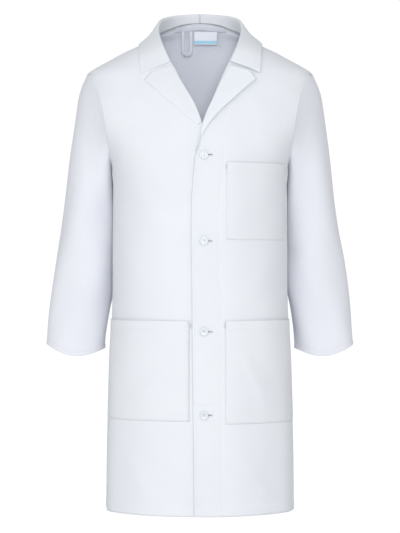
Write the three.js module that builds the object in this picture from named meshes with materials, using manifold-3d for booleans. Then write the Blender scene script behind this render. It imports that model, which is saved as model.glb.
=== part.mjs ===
// A men's lab coat, buttoned up and hanging from the wearer's shoulders.
// Millimetres, +Z up. The coat faces -Y and +X is the wearer's left. The origin is on the coat's
// centre line, level with the seam that joins the collar to the back.
import * as THREE from 'three';
import { mergeVertices } from 'three/addons/utils/BufferGeometryUtils.js';
import Module from 'manifold-3d';

const wasm = await Module();
wasm.setup();

// ---------------------------------------------------------------- driving dimensions
const BACK_LENGTH = 1033;          // collar seam to hem
const HEM_HALF_WIDTH = 199;
const WAIST_HALF_WIDTH = 184;
const SHOULDER_X = 238;            // end of the shoulder seam
const SHOULDER_Z = -118;
const UNDERARM_X = 186;
const UNDERARM_Z = -311;
const SIDE_NECK_Z = -34;           // where the shoulder seam meets the collar
const SIDE_NECK_X = 88;
const HEM_FRONT_DEPTH = 166;
const HEM_BACK_DEPTH = 142;
const ROUNDNESS = 2.3;             // exponent of the body's horizontal section, 2 is an ellipse

const CLOTH = 0.8;                 // thickness of one layer
const INTERLINING = 0.4;
const LAYER_GAP = 0.9;             // air between two layers
const SEAM_GAP = 0.6;              // each panel stops this far short of its seam

const FRONT_SPLIT_Z = -282;        // the fronts swing below this line, level with the lapel's end
const SPLIT_DROP = 63;             // and near the side seam below this much more, under the armhole
const SPLIT_GAP = 1.5;             // each side of the split stops this far short of it
const BREAK_Z = -296;              // where the lapels start to roll
const BAND_WIDTH = 57;             // the left front's buttonhole band, edge to stitching
const RIGHT_EDGE_X = 32;           // the right front reaches this far under the left one
const FACING_WIDTH = 60;

const BUTTON_X = 8;
const BUTTON_HEIGHTS = [-296, -472, -657, -827];
const BUTTON_RADIUS = 8.5;
const BUTTON_THICKNESS = 2.8;
const BUTTON_HOLE_RADIUS = 0.9;
const BUTTON_HOLE_OFFSET = 1.8;
const SHANK_RADIUS = 1.2;
const SHANK_CLEARANCE = 0.3;
const BUTTONHOLE_LENGTH = 20;
const BUTTONHOLE_HEIGHT = 4;
const BUTTONHOLE_RIM = 1.6;

const CHEST_POCKET = { front: 53, side: 175, top: -311, bottom: -470 };
const LOWER_POCKET = { leftFront: 50, rightFront: -21, top: -635, leftBottom: -846, rightBottom: -840 };
const POCKET_SIDE_GAP = 3;         // from a lower pocket's outer edge to the side seam
const POCKET_FULLNESS = 8.5;       // how far a pocket's mouth stands off the front
const BAR_TACK = { length: 10, height: 2, thickness: 0.6 };

const CUFF_DROP = 20;              // the cuff hem hangs this much lower in front and behind
const SLEEVE_ROUNDNESS = 2.2;

const LOOP = { x: -28, top: -17, width: 24, strand: 7, length: 54, thickness: 1 };
const LABEL = { x: 12, top: -18, width: 50, height: 28, thickness: 0.6 };
const NECK_HANG_DEPTH = 69;        // the loop and label hang this far behind the coat's middle
const NECK_TAPE = { halfAngle: 42, top: -3, bottom: -13 };

// ---------------------------------------------------------------- materials
function cloth(name, colour, roughness = 0.9) {
  const material = new THREE.MeshStandardMaterial({ color: colour, roughness, metalness: 0 });
  material.name = name;
  return material;
}

const TWILL = cloth('white_twill', 0xe9ecf4);
const LINING = cloth('interlining', 0xf2f2ee);
const THREAD = cloth('sewing_thread', 0xf4f5f8, 0.7);
const BUTTON = cloth('button_plastic', 0xeceef2, 0.35);
const TAPE = cloth('woven_tape', 0xdfe3ec);
const LABEL_CLOTH = cloth('label_cloth', 0xf4f7fb, 0.8);

const group = new THREE.Group();

function add(name, geometry, material) {
  const mesh = new THREE.Mesh(geometry, material);
  mesh.name = name;
  group.add(mesh);
  return mesh;
}

// ---------------------------------------------------------------- small maths
const radians = THREE.MathUtils.degToRad;
const smooth = THREE.MathUtils.smoothstep;
const lerp = THREE.MathUtils.lerp;

// A smooth curve through [key, value] pairs sorted by rising key.
function track(pairs) {
  const last = pairs.length - 1;
  const slope = pairs.map((pair, i) => {
    const a = pairs[Math.max(i - 1, 0)];
    const b = pairs[Math.min(i + 1, last)];
    return (b[1] - a[1]) / (b[0] - a[0]);
  });
  return (key) => {
    const k = THREE.MathUtils.clamp(key, pairs[0][0], pairs[last][0]);
    const i = Math.max(0, Math.min(last - 1, pairs.findIndex((pair) => pair[0] > k) - 1));
    const j = k >= pairs[last][0] ? last - 1 : i;
    const [k0, v0] = pairs[j];
    const [k1, v1] = pairs[j + 1];
    const h = k1 - k0;
    const t = (k - k0) / h;
    return v0 * (1 + 2 * t) * (1 - t) ** 2 + v1 * t * t * (3 - 2 * t)
      + h * slope[j] * t * (1 - t) ** 2 + h * slope[j + 1] * t * t * (t - 1);
  };
}

// A broken line through points, read at 0..1, with an equal share for each of its lengths.
function polyline(points) {
  return (t) => {
    const position = t * (points.length - 1);
    const i = Math.min(Math.floor(position), points.length - 2);
    return points[i].map((value, axis) => lerp(value, points[i + 1][axis], position - i));
  };
}

// ---------------------------------------------------------------- the body of the coat
// Heights as shares of the way down the skirt, up the armhole and up the shoulder seam.
const skirt = (share) => lerp(UNDERARM_Z, -BACK_LENGTH, share);
const armhole = (share) => lerp(UNDERARM_Z, SHOULDER_Z, share);
const shoulder = (share) => lerp(SHOULDER_Z, SIDE_NECK_Z, share);

// Half width, and depth in front of and behind the centre, by height.
const halfWidth = track([
  [skirt(1), HEM_HALF_WIDTH], [skirt(0.79), HEM_HALF_WIDTH - 2], [skirt(0.585), WAIST_HALF_WIDTH + 8],
  [skirt(0.393), WAIST_HALF_WIDTH + 1], [skirt(0.262), WAIST_HALF_WIDTH],
  [skirt(0.123), WAIST_HALF_WIDTH - 1], [UNDERARM_Z, UNDERARM_X],
  [armhole(0.228), UNDERARM_X + 22], [armhole(0.42), SHOULDER_X - 4],
  [armhole(0.627), SHOULDER_X + 8], [armhole(0.834), SHOULDER_X + 4], [SHOULDER_Z, SHOULDER_X],
  [shoulder(0.18), SHOULDER_X - 22], [shoulder(0.38), SHOULDER_X - 53],
  [shoulder(0.536), SHOULDER_X - 77], [shoulder(0.762), SIDE_NECK_X + 32],
  [SIDE_NECK_Z, SIDE_NECK_X], [-15, SIDE_NECK_X - 11], [0, SIDE_NECK_X - 20], [6, SIDE_NECK_X - 22],
]);
const frontDepth = track([
  [skirt(1), HEM_FRONT_DEPTH], [skirt(0.788), HEM_FRONT_DEPTH - 6],
  [skirt(0.585), HEM_FRONT_DEPTH - 11], [skirt(0.38), HEM_FRONT_DEPTH - 14],
  [skirt(0.123), HEM_FRONT_DEPTH - 16], [armhole(0.057), 144], [armhole(0.42), 134],
  [armhole(0.762), 118], [SHOULDER_Z - 1, 102], [shoulder(0.536), 84], [SIDE_NECK_Z, 62], [6, 44],
]);
const backDepth = track([
  [skirt(1), HEM_BACK_DEPTH], [skirt(0.677), HEM_BACK_DEPTH - 12],
  [skirt(0.428), HEM_BACK_DEPTH - 24], [skirt(0.262), HEM_BACK_DEPTH - 28],
  [skirt(0.123), HEM_BACK_DEPTH - 22], [armhole(0.057), 124], [armhole(0.627), 118],
  [SHOULDER_Z - 1, 108], [shoulder(0.536), 98], [SIDE_NECK_Z, 88], [0, 73], [6, 71],
]);

// Below 1 inside the body, 1 on its surface.
function fullness(x, y, z) {
  const depth = y < 0 ? frontDepth(z) : backDepth(z);
  return (Math.abs(x) / halfWidth(z)) ** ROUNDNESS + (Math.abs(y) / depth) ** ROUNDNESS;
}

function bodyNormal(p) {
  const step = 0.5;
  const slope = (dx, dy, dz) => fullness(p.x + dx, p.y + dy, p.z + dz)
    - fullness(p.x - dx, p.y - dy, p.z - dz);
  return new THREE.Vector3(slope(step, 0, 0), slope(0, step, 0), slope(0, 0, step)).normalize();
}

// The point at an angle from the front centre (wearer's left positive), lifted off the surface.
function bodyPoint(angle, z, lift = 0) {
  const power = 2 / ROUNDNESS;
  const s = Math.sin(angle);
  const c = Math.cos(angle);
  const depth = c > 0 ? frontDepth(z) : backDepth(z);
  const p = new THREE.Vector3(
    halfWidth(z) * Math.sign(s) * Math.abs(s) ** power,
    -depth * Math.sign(c) * Math.abs(c) ** power,
    z,
  );
  return p.addScaledVector(bodyNormal(p), lift);
}

// The angle at which the front reaches x at height z.
function frontAngle(x, z) {
  const share = Math.min(Math.abs(x) / halfWidth(z), 1);
  return Math.sign(x) * Math.asin(share ** (ROUNDNESS / 2));
}

// The side edge of a front panel: side seam, then armhole, then shoulder seam.
function sideAngle(z, gap = SEAM_GAP) {
  const seam = Math.PI / 2 - (gap / frontDepth(z)) ** (ROUNDNESS / 2);
  if (z <= UNDERARM_Z || z >= SHOULDER_Z) return seam;
  const share = (z - UNDERARM_Z) / (SHOULDER_Z - UNDERARM_Z);
  const x = lerp(UNDERARM_X, SHOULDER_X, share) - gap;
  return Math.min(seam, frontAngle(x, z));
}

// ---------------------------------------------------------------- closed panels of cloth
// place(s, t, face) gives the point of the inner (0) or outer (1) face, for s and t in 0..1.
function panel(place, columns, rows) {
  const across = Array.isArray(columns) ? columns : ladder(columns);
  const up = Array.isArray(rows) ? rows : ladder(rows);
  const position = [];
  for (const face of [0, 1]) {
    for (const t of up) {
      for (const s of across) position.push(...place(s, t, face).toArray());
    }
  }
  const wide = across.length;
  const high = up.length;
  const layer = wide * high;
  const index = [];
  const quad = (a, b, c, d) => index.push(a, b, c, a, c, d);
  for (let j = 0; j < high - 1; j += 1) {
    for (let i = 0; i < wide - 1; i += 1) {
      const a = j * wide + i;
      quad(a, a + wide, a + wide + 1, a + 1);
      quad(layer + a, layer + a + 1, layer + a + wide + 1, layer + a + wide);
    }
  }
  const rim = [];
  for (let i = 0; i < wide - 1; i += 1) rim.push(i);
  for (let j = 0; j < high - 1; j += 1) rim.push(j * wide + wide - 1);
  for (let i = wide - 1; i > 0; i -= 1) rim.push((high - 1) * wide + i);
  for (let j = high - 1; j > 0; j -= 1) rim.push(j * wide);
  rim.forEach((a, k) => {
    const b = rim[(k + 1) % rim.length];
    quad(a, b, layer + b, layer + a);
  });
  return facingOut(position, index);
}

function ladder(steps) {
  return Array.from({ length: steps + 1 }, (_, i) => i / steps);
}

function facingOut(position, index) {
  const corner = (k) => new THREE.Vector3().fromArray(position, 3 * index[k]);
  let volume = 0;
  for (let k = 0; k < index.length; k += 3) {
    volume += corner(k).dot(corner(k + 1).cross(corner(k + 2)));
  }
  const order = volume > 0 ? index : index.slice().reverse();
  const geometry = new THREE.BufferGeometry();
  geometry.setAttribute('position', new THREE.Float32BufferAttribute(position, 3));
  geometry.setIndex(order);
  return geometry;
}

// A panel on the body's surface, from its angles and heights at s, t and its lift at that place.
function bodyPanel(where, lift, thickness, columns, rows) {
  return panel((s, t, face) => {
    const { angle, z } = where(s, t);
    const flat = bodyPoint(angle, z);
    return bodyPoint(angle, z, lift(flat.x, z, s, t) + face * thickness);
  }, columns, rows);
}

// Heights as shares of a panel's own height, so that a row falls on each named height.
function rowsAt(heights) {
  const low = heights[0];
  const high = heights[heights.length - 1];
  return heights.map((z) => (z - low) / (high - low));
}

function mirrored(geometry) {
  const position = Array.from(geometry.attributes.position.array, (v, i) => (i % 3 === 0 ? -v : v));
  return facingOut(position, Array.from(geometry.index.array));
}

// ---------------------------------------------------------------- solids cut from one another
function toManifold(geometry) {
  const bare = geometry.clone();
  bare.deleteAttribute('normal');
  bare.deleteAttribute('uv');
  const merged = mergeVertices(bare, 1e-4);
  return new wasm.Manifold(new wasm.Mesh({
    numProp: 3,
    vertProperties: new Float32Array(merged.attributes.position.array),
    triVerts: new Uint32Array(merged.index.array),
  }));
}

function fromManifold(solid) {
  const mesh = solid.getMesh();
  const geometry = new THREE.BufferGeometry();
  geometry.setAttribute('position', new THREE.Float32BufferAttribute(mesh.vertProperties, 3));
  geometry.setIndex(Array.from(mesh.triVerts));
  return geometry;
}

function cut(geometry, tools) {
  const solid = tools.reduce((left, tool) => left.subtract(toManifold(tool)), toManifold(geometry));
  return fromManifold(solid);
}

// ---------------------------------------------------------------- outlines of the front
// The left front's free edge, and the line its lapel rolls over.
const leftEdge = track([
  [-BACK_LENGTH, -12], [-674, -16], [-592, -16], [-388, -22], [BREAK_Z, -10],
]);
const rollLine = track([
  [BREAK_Z, -10], [-227, 5], [-202, 15], [-158, 33], [-119, 50], [-102, 58], [-75, 72],
  [-44, 83], [SIDE_NECK_Z, 84],
]);
// The right front's roll line, given as its distance on the wearer's right.
const underRollLine = track([
  [BREAK_Z, -26], [-227, -5], [-202, 5], [-158, 30], [-119, 48], [-102, 58], [-75, 72],
  [-44, 83], [SIDE_NECK_Z, 84],
]);
const bandStitching = (z) => leftEdge(z) + BAND_WIDTH;

// Stack of layers over the right front, from the inside out.
const LEFT_FACING_LIFT = CLOTH + LAYER_GAP;
const LEFT_INTERLINING_LIFT = LEFT_FACING_LIFT + CLOTH + LAYER_GAP;
const LEFT_FRONT_LIFT = LEFT_INTERLINING_LIFT + INTERLINING + LAYER_GAP;
const RIGHT_INTERLINING_LIFT = -LAYER_GAP - INTERLINING;
const RIGHT_FACING_LIFT = RIGHT_INTERLINING_LIFT - LAYER_GAP - CLOTH;
const LIFT_ENDS_X = 120;
const LIFT_ENDS_Z = -160;

function leftLift(x, z) {
  const across = 1 - smooth(x, BAND_WIDTH - 8, LIFT_ENDS_X);
  const up = 1 - smooth(z, FRONT_SPLIT_Z, LIFT_ENDS_Z);
  return LEFT_FRONT_LIFT * across * up;
}

const flush = () => 0;

// ---------------------------------------------------------------- back
const SKIRT_ROWS = [1, 0.885, 0.774, 0.663, 0.553, 0.442, 0.345, 0.234, 0.123, 0.054].map(skirt);
const BACK_ROWS = [
  ...SKIRT_ROWS, UNDERARM_Z, ...[0.161, 0.316, 0.472, 0.627, 0.756, 0.886].map(armhole),
  SHOULDER_Z, ...[0.167, 0.357, 0.536, 0.69, 0.81].map(shoulder), SIDE_NECK_Z - 4,
];

function backNeckHeight(angle) {
  const share = (angle - Math.PI / 2) / (Math.PI / 2);
  return lerp(SIDE_NECK_Z, 0, smooth(share, 0, 1));
}

function backPanel() {
  const rows = rowsAt(BACK_ROWS);
  const top = BACK_ROWS.length - 1;
  const knee = BACK_ROWS[top - 2];
  return bodyPanel((s, t) => {
    const level = lerp(BACK_ROWS[0], BACK_ROWS[top], t);
    const from = Math.PI - sideAngle(level);
    const to = Math.PI - (SEAM_GAP / halfWidth(level)) ** (ROUNDNESS / 2);
    const angle = lerp(from, to, s);
    const rise = Math.max(0, (level - knee) / (BACK_ROWS[top] - knee));
    const z = level + rise * (backNeckHeight(angle) - BACK_ROWS[top]);
    return { angle, z };
  }, flush, CLOTH, 8, rows);
}

function addBack() {
  const left = backPanel();
  add('back_left', left, TWILL);
  add('back_right', mirrored(left), TWILL);
  const tape = bodyPanel((s, t) => ({
    angle: Math.PI + radians(lerp(-NECK_TAPE.halfAngle, NECK_TAPE.halfAngle, s)),
    z: lerp(NECK_TAPE.bottom, NECK_TAPE.top, t) - Math.abs(s - 0.5) * 14,
  }), () => -LAYER_GAP - CLOTH, CLOTH, 10, 2);
  add('neck_tape', tape, TAPE);
}

// ---------------------------------------------------------------- fronts
const UPPER_ROWS = [
  FRONT_SPLIT_Z + SPLIT_GAP, ...[0.249, 0.3, 0.35, 0.394, 0.513, 0.627, 0.756, 0.886].map(armhole),
  SHOULDER_Z, ...[0.167, 0.357, 0.536, 0.69, 0.81].map(shoulder), SIDE_NECK_Z - 4,
];
const LOWER_ROWS = [...SKIRT_ROWS, UNDERARM_Z, FRONT_SPLIT_Z - SPLIT_GAP];

// How far the fronts' split, and the rows near it, drop towards the side seam.
function splitDrop(angle, level) {
  const near = level < FRONT_SPLIT_Z
    ? smooth(level, FRONT_SPLIT_Z - 2.2 * SPLIT_DROP, FRONT_SPLIT_Z)
    : 1 - smooth(level, FRONT_SPLIT_Z, FRONT_SPLIT_Z + SPLIT_DROP);
  return SPLIT_DROP * smooth(Math.abs(angle), 0.75, 1.3) * near;
}

// A front panel between an inner edge x = from(z) and the side. side is 1 for the wearer's left.
function frontPanel(side, from, heights, lift, columns) {
  const low = heights[0];
  const high = heights[heights.length - 1];
  return bodyPanel((s, t) => {
    const angleAt = (height) => lerp(frontAngle(from(height), height), side * sideAngle(height), s);
    const level = lerp(low, high, t);
    const z = level - splitDrop(angleAt(level), level);
    return { angle: angleAt(z), z };
  }, lift, CLOTH, columns, rowsAt(heights));
}

// A strip of one layer between two edges, given as x by height.
function strip(from, to, heights, lift, thickness, columns = 4) {
  const low = heights[0];
  const high = heights[heights.length - 1];
  return bodyPanel((s, t) => {
    const z = lerp(low, high, t);
    return { angle: frontAngle(lerp(from(z), to(z), s), z), z };
  }, lift, thickness, columns, rowsAt(heights));
}

function slitTool(z) {
  const tool = new THREE.BoxGeometry(BUTTONHOLE_LENGTH, 60, BUTTONHOLE_HEIGHT);
  const start = BUTTON_X - SHANK_RADIUS - SHANK_CLEARANCE;
  tool.translate(start + BUTTONHOLE_LENGTH / 2, -frontDepth(z), z);
  return tool;
}

function addFronts() {
  const slits = BUTTON_HEIGHTS.map(slitTool);
  const tuck = 1.5;

  const leftUpper = frontPanel(1, (z) => rollLine(z) + 1, UPPER_ROWS, leftLift, 12);
  add('left_front_upper', leftUpper, TWILL);
  const rightUpper = frontPanel(-1, (z) => -underRollLine(z) - 1, UPPER_ROWS, flush, 12);
  add('right_front_upper', rightUpper, TWILL);

  const leftLower = frontPanel(1, (z) => bandStitching(z) + SEAM_GAP, LOWER_ROWS, leftLift, 12);
  add('left_front_lower', leftLower, TWILL);
  add('right_front_lower', frontPanel(-1, () => RIGHT_EDGE_X, LOWER_ROWS, flush, 14), TWILL);

  const band = strip(leftEdge, (z) => bandStitching(z) - SEAM_GAP, LOWER_ROWS, leftLift, CLOTH);
  add('left_buttonhole_band', cut(band, slits), TWILL);
  const inner = (z) => leftEdge(z) + tuck;
  const outer = (z) => bandStitching(z) - SEAM_GAP;
  const interlining = strip(inner, outer, LOWER_ROWS, () => LEFT_INTERLINING_LIFT, INTERLINING);
  add('left_interlining', cut(interlining, slits), LINING);
  const facing = strip(inner, outer, LOWER_ROWS, () => LEFT_FACING_LIFT, CLOTH);
  add('left_facing', cut(facing, slits), TWILL);

  const underEdge = () => RIGHT_EDGE_X - tuck;
  const underFold = () => RIGHT_EDGE_X - FACING_WIDTH;
  const rightLining = strip(underFold, underEdge, LOWER_ROWS, () => RIGHT_INTERLINING_LIFT, INTERLINING);
  add('right_interlining', rightLining, LINING);
  add('right_facing', strip(underFold, underEdge, LOWER_ROWS, () => RIGHT_FACING_LIFT, CLOTH), TWILL);
}

// ---------------------------------------------------------------- lapels and collar
const NOTCH = [100.5, -121];
const LAPEL_POINT = [115.5, -138.5];
const GORGE_START = [61, -108];
const COLLAR_POINT = [124, -125];

const leftLapelRoll = polyline([
  [-5, -279], [0, -255], [6, -230], [15, -206], [26, -182], [37, -158], [50, -130], GORGE_START,
]);
const leftLapelEdge = polyline([
  [-4, -280], [1, -266], [14, -240], [42, -204], [66, -182], [92, -158], LAPEL_POINT, NOTCH,
]);
const rightLapelRoll = polyline([
  [-5, -200], [-12, -188], [-20, -176], [-28, -163], [-36, -150], [-44, -137], [-52, -122],
  [-GORGE_START[0], GORGE_START[1]],
]);
const rightLapelEdge = polyline([
  [-14, -230], [-28, -217], [-42, -204], [-56, -191], [-74, -176], [-94, -158],
  [-LAPEL_POINT[0], LAPEL_POINT[1]], [-NOTCH[0], NOTCH[1]],
]);

function lapel(roll, edge, base, level, thickness) {
  return bodyPanel((s, t) => {
    const a = roll(t);
    const b = edge(t);
    const z = lerp(a[1], b[1], s);
    return { angle: frontAngle(lerp(a[0], b[0], s), z), z };
  }, (x, z) => base(x, z) + level, thickness, 4, 7);
}

function addLapels() {
  const under = CLOTH + LAYER_GAP;
  const over = under + CLOTH + LAYER_GAP;
  add('left_lapel_under', lapel(leftLapelRoll, leftLapelEdge, leftLift, under, CLOTH), TWILL);
  add('left_lapel_top', lapel(leftLapelRoll, leftLapelEdge, leftLift, over, CLOTH), TWILL);
  add('right_lapel_under', lapel(rightLapelRoll, rightLapelEdge, flush, under, CLOTH), TWILL);
  add('right_lapel_top', lapel(rightLapelRoll, rightLapelEdge, flush, over, CLOTH), TWILL);
}

// Half of each collar line, from the back centre to the wearer's left end.
const SEAM_LIFT = CLOTH + 1.6;
const FALL_LIFT = CLOTH + 1.4;
const COLLAR_BRIDGE_LIFT = 8;      // the collar bridges the front of the shoulder this far off it
const collarSeam = [[180, 1], [152, -4], [122, -18], [92, -30], [66, -40]]
  .map(([angle, z]) => bodyPoint(radians(angle), z, SEAM_LIFT));
const standTop = [[0, 72, 19], [38, 64, 16], [66, 42, 9], [82, 8, -4], [86, -24, -26]]
  .map((p) => new THREE.Vector3(...p));
const collarFold = [[0, 76, 19], [40, 67, 16], [70, 43, 9], [86, 7, -3], [90, -26, -26]]
  .map((p) => new THREE.Vector3(...p));
collarFold.push(bodyPoint(frontAngle(77, -68), -68, 7));
collarFold.push(bodyPoint(frontAngle(GORGE_START[0] + 2, -101), -101, FALL_LIFT + 1));
const collarEdge = [[180, -30], [152, -34], [122, -43], [92, -51]]
  .map(([angle, z]) => bodyPoint(radians(angle), z, FALL_LIFT));
collarEdge.push(bodyPoint(radians(73), -60, COLLAR_BRIDGE_LIFT));
collarEdge.push(bodyPoint(frontAngle(126, -84), -84, COLLAR_BRIDGE_LIFT));
collarEdge.push(bodyPoint(frontAngle(...COLLAR_POINT), COLLAR_POINT[1], FALL_LIFT));

// The whole line, from the wearer's right end round the back to the left end.
function bothSides(half) {
  const right = half.slice(1).reverse().map((p) => new THREE.Vector3(-p.x, p.y, p.z));
  return new THREE.CatmullRomCurve3([...right, ...half]);
}

// A sheet ruled between two lines, thickened outwards from a given lift.
function ruledSheet(lower, upper, lift, thickness, columns, rows) {
  const a = bothSides(lower);
  const b = bothSides(upper);
  const at = (s, t) => a.getPoint(s).lerp(b.getPoint(s), t);
  return panel((s, t, face) => {
    const step = 0.01;
    const along = at(Math.min(s + step, 1), t).sub(at(Math.max(s - step, 0), t));
    const up = at(s, 1).sub(at(s, 0));
    const normal = up.cross(along).normalize();
    return at(s, t).addScaledVector(normal, lift + face * thickness);
  }, columns, rows);
}

function addCollar() {
  const columns = 24;
  const interlining = CLOTH + LAYER_GAP / 2;
  const top = interlining + INTERLINING + LAYER_GAP / 2;
  add('collar_stand', ruledSheet(standTop, collarSeam, 0, CLOTH, columns, 2), TWILL);
  add('under_collar', ruledSheet(collarEdge, collarFold, 0, CLOTH, columns, 4), TWILL);
  const stiffener = ruledSheet(collarEdge, collarFold, interlining, INTERLINING, columns, 4);
  add('collar_interlining', stiffener, LINING);
  add('top_collar', ruledSheet(collarEdge, collarFold, top, CLOTH, columns, 4), TWILL);
}

// ---------------------------------------------------------------- pockets
// A patch pocket, full at its mouth and flat where it is sewn down.
function pocket(front, side, top, bottom, base, columns, rows) {
  return bodyPanel((s, t) => {
    const z = lerp(bottom, top, t);
    return { angle: lerp(front(z), side(z), s), z };
  }, (x, z, s, t) => {
    const belly = Math.sin(Math.PI * s) ** 0.7 * smooth(t, 0, 0.5);
    return base(x, z) + CLOTH + LAYER_GAP + POCKET_FULLNESS * belly;
  }, CLOTH, columns, rows);
}

function addPockets() {
  const atX = (x) => (z) => frontAngle(x, z);
  const atSide = (side) => (z) => side * sideAngle(z, POCKET_SIDE_GAP);
  const chest = CHEST_POCKET;
  const low = LOWER_POCKET;
  const pockets = {
    chest_pocket: pocket(atX(chest.front), atX(chest.side), chest.top, chest.bottom, leftLift, 10, 5),
    left_pocket: pocket(atX(low.leftFront), atSide(1), low.top, low.leftBottom, leftLift, 12, 6),
    right_pocket: pocket(atX(low.rightFront), atSide(-1), low.top, low.rightBottom, flush, 12, 6),
  };
  for (const [name, geometry] of Object.entries(pockets)) add(name, geometry, TWILL);
}

// A bar tack lies over a pocket's sewn edge at each end of its mouth.
function barTack(x, z, base) {
  const reach = BAR_TACK.length / 2;
  const level = CLOTH + LAYER_GAP + CLOTH + LAYER_GAP;
  return strip(() => x - BAR_TACK.height / 2, () => x + BAR_TACK.height / 2, [z - reach, z + reach],
    (px, pz) => base(px, pz) + level, BAR_TACK.thickness, 1);
}

function addBarTacks() {
  const chest = CHEST_POCKET;
  const low = LOWER_POCKET;
  const inset = BAR_TACK.height;
  const drop = BAR_TACK.length;
  add('chest_pocket_tack_front', barTack(chest.front - inset, chest.top - drop, leftLift), THREAD);
  add('chest_pocket_tack_side', barTack(chest.side + inset, chest.top - drop, leftLift), THREAD);
  add('left_pocket_tack', barTack(low.leftFront - inset, low.top - drop, leftLift), THREAD);
  add('right_pocket_tack', barTack(low.rightFront + inset, low.top - drop, flush), THREAD);
}

// ---------------------------------------------------------------- buttons
// Distances out along -Y from the innermost face of the coat's front.
const BUTTONHOLE_LIFT = LEFT_FRONT_LIFT + CLOTH + 0.5;
const BUTTONHOLE_THICKNESS = 0.4;
const SPREAD_LIFT = BUTTONHOLE_LIFT + BUTTONHOLE_THICKNESS + SHANK_CLEARANCE;
const SPREAD_THICKNESS = 0.4;
const BUTTON_LIFT = SPREAD_LIFT + SPREAD_THICKNESS + SHANK_CLEARANCE;
const SHANK_FOOT_LIFT = CLOTH + SHANK_CLEARANCE;

function buttonHoles() {
  return [[1, 1], [-1, 1], [-1, -1], [1, -1]]
    .map(([i, j]) => [i * BUTTON_HOLE_OFFSET, j * BUTTON_HOLE_OFFSET]);
}

// A four-hole button with a raised rim, its back at the origin and its face towards +Y.
function buttonGeometry() {
  const rim = BUTTON_RADIUS;
  const face = BUTTON_THICKNESS;
  const dish = 0.7;
  const profile = [
    [0, 0], [rim - 1.2, 0], [rim, 0.9], [rim, face - 0.7], [rim - 0.8, face],
    [rim - 2, face], [rim - 3, face - dish], [0, face - dish],
  ].map(([r, y]) => new THREE.Vector2(r, y));
  const disc = new THREE.LatheGeometry(profile, 16);
  const drills = buttonHoles().map(([x, z]) => {
    const drill = new THREE.CylinderGeometry(BUTTON_HOLE_RADIUS, BUTTON_HOLE_RADIUS, 10, 6);
    drill.translate(x, 0, z);
    return drill;
  });
  return cut(disc, drills);
}

// The sewing thread: a shank up from the right front, which spreads under the button, comes up
// through its holes and crosses over its face. The origin is at the button's back.
function threadGeometry() {
  const strand = BUTTON_HOLE_RADIUS * 0.5;
  const foot = SHANK_FOOT_LIFT - BUTTON_LIFT;
  const spread = SPREAD_LIFT - BUTTON_LIFT;
  const crown = BUTTON_THICKNESS + strand;
  const spreadRadius = BUTTON_HOLE_OFFSET * Math.SQRT2 + strand;
  const shank = new THREE.CylinderGeometry(SHANK_RADIUS, SHANK_RADIUS, spread - foot + 0.1, 8);
  shank.translate(0, (spread + foot + 0.1) / 2, 0);
  const plate = new THREE.CylinderGeometry(spreadRadius, spreadRadius, SPREAD_THICKNESS, 8);
  plate.translate(0, spread + SPREAD_THICKNESS / 2, 0);
  const pieces = [plate];
  for (const [x, z] of buttonHoles()) {
    const leg = new THREE.CylinderGeometry(strand, strand, crown - spread, 4);
    leg.translate(x, (crown + spread) / 2, z);
    pieces.push(leg);
  }
  for (const turn of [1, -1]) {
    const bar = new THREE.BoxGeometry(2 * spreadRadius - strand, strand, strand * 1.4);
    bar.rotateY(turn * Math.PI / 4);
    bar.translate(0, crown - strand / 2, 0);
    pieces.push(bar);
  }
  const solid = pieces.reduce((whole, piece) => whole.add(toManifold(piece)), toManifold(shank));
  return fromManifold(solid);
}

function addButtons() {
  const button = buttonGeometry();
  const thread = threadGeometry();
  BUTTON_HEIGHTS.forEach((z, i) => {
    const pieces = [[`button_${i + 1}`, button, BUTTON], [`button_thread_${i + 1}`, thread, THREAD]];
    for (const [name, geometry, material] of pieces) {
      const mesh = add(name, geometry, material);
      mesh.rotation.x = Math.PI;
      mesh.position.set(BUTTON_X, -frontDepth(z) - BUTTON_LIFT, z);
    }
  });
}

function roundEnded(length, height) {
  const r = height / 2;
  const shape = new THREE.Shape();
  shape.moveTo(-length / 2 + r, -r);
  shape.lineTo(length / 2 - r, -r);
  shape.absarc(length / 2 - r, 0, r, -Math.PI / 2, Math.PI / 2, false);
  shape.absarc(-length / 2 + r, 0, r, Math.PI / 2, Math.PI * 1.5, false);
  return shape;
}

// Close stitches round each buttonhole, standing just proud of the band.
function addButtonholes() {
  const start = BUTTON_X - SHANK_RADIUS - SHANK_CLEARANCE;
  const rim = 2 * BUTTONHOLE_RIM;
  const shape = roundEnded(BUTTONHOLE_LENGTH + rim, BUTTONHOLE_HEIGHT + rim);
  shape.holes.push(roundEnded(BUTTONHOLE_LENGTH, BUTTONHOLE_HEIGHT));
  const settings = { depth: BUTTONHOLE_THICKNESS, bevelEnabled: false, curveSegments: 4 };
  BUTTON_HEIGHTS.forEach((z, i) => {
    const stitches = new THREE.ExtrudeGeometry(shape, settings);
    stitches.rotateX(Math.PI / 2);
    stitches.translate(start + BUTTONHOLE_LENGTH / 2, -frontDepth(z) - BUTTONHOLE_LIFT, z);
    add(`buttonhole_${i + 1}`, stitches, THREAD);
  });
}

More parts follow.
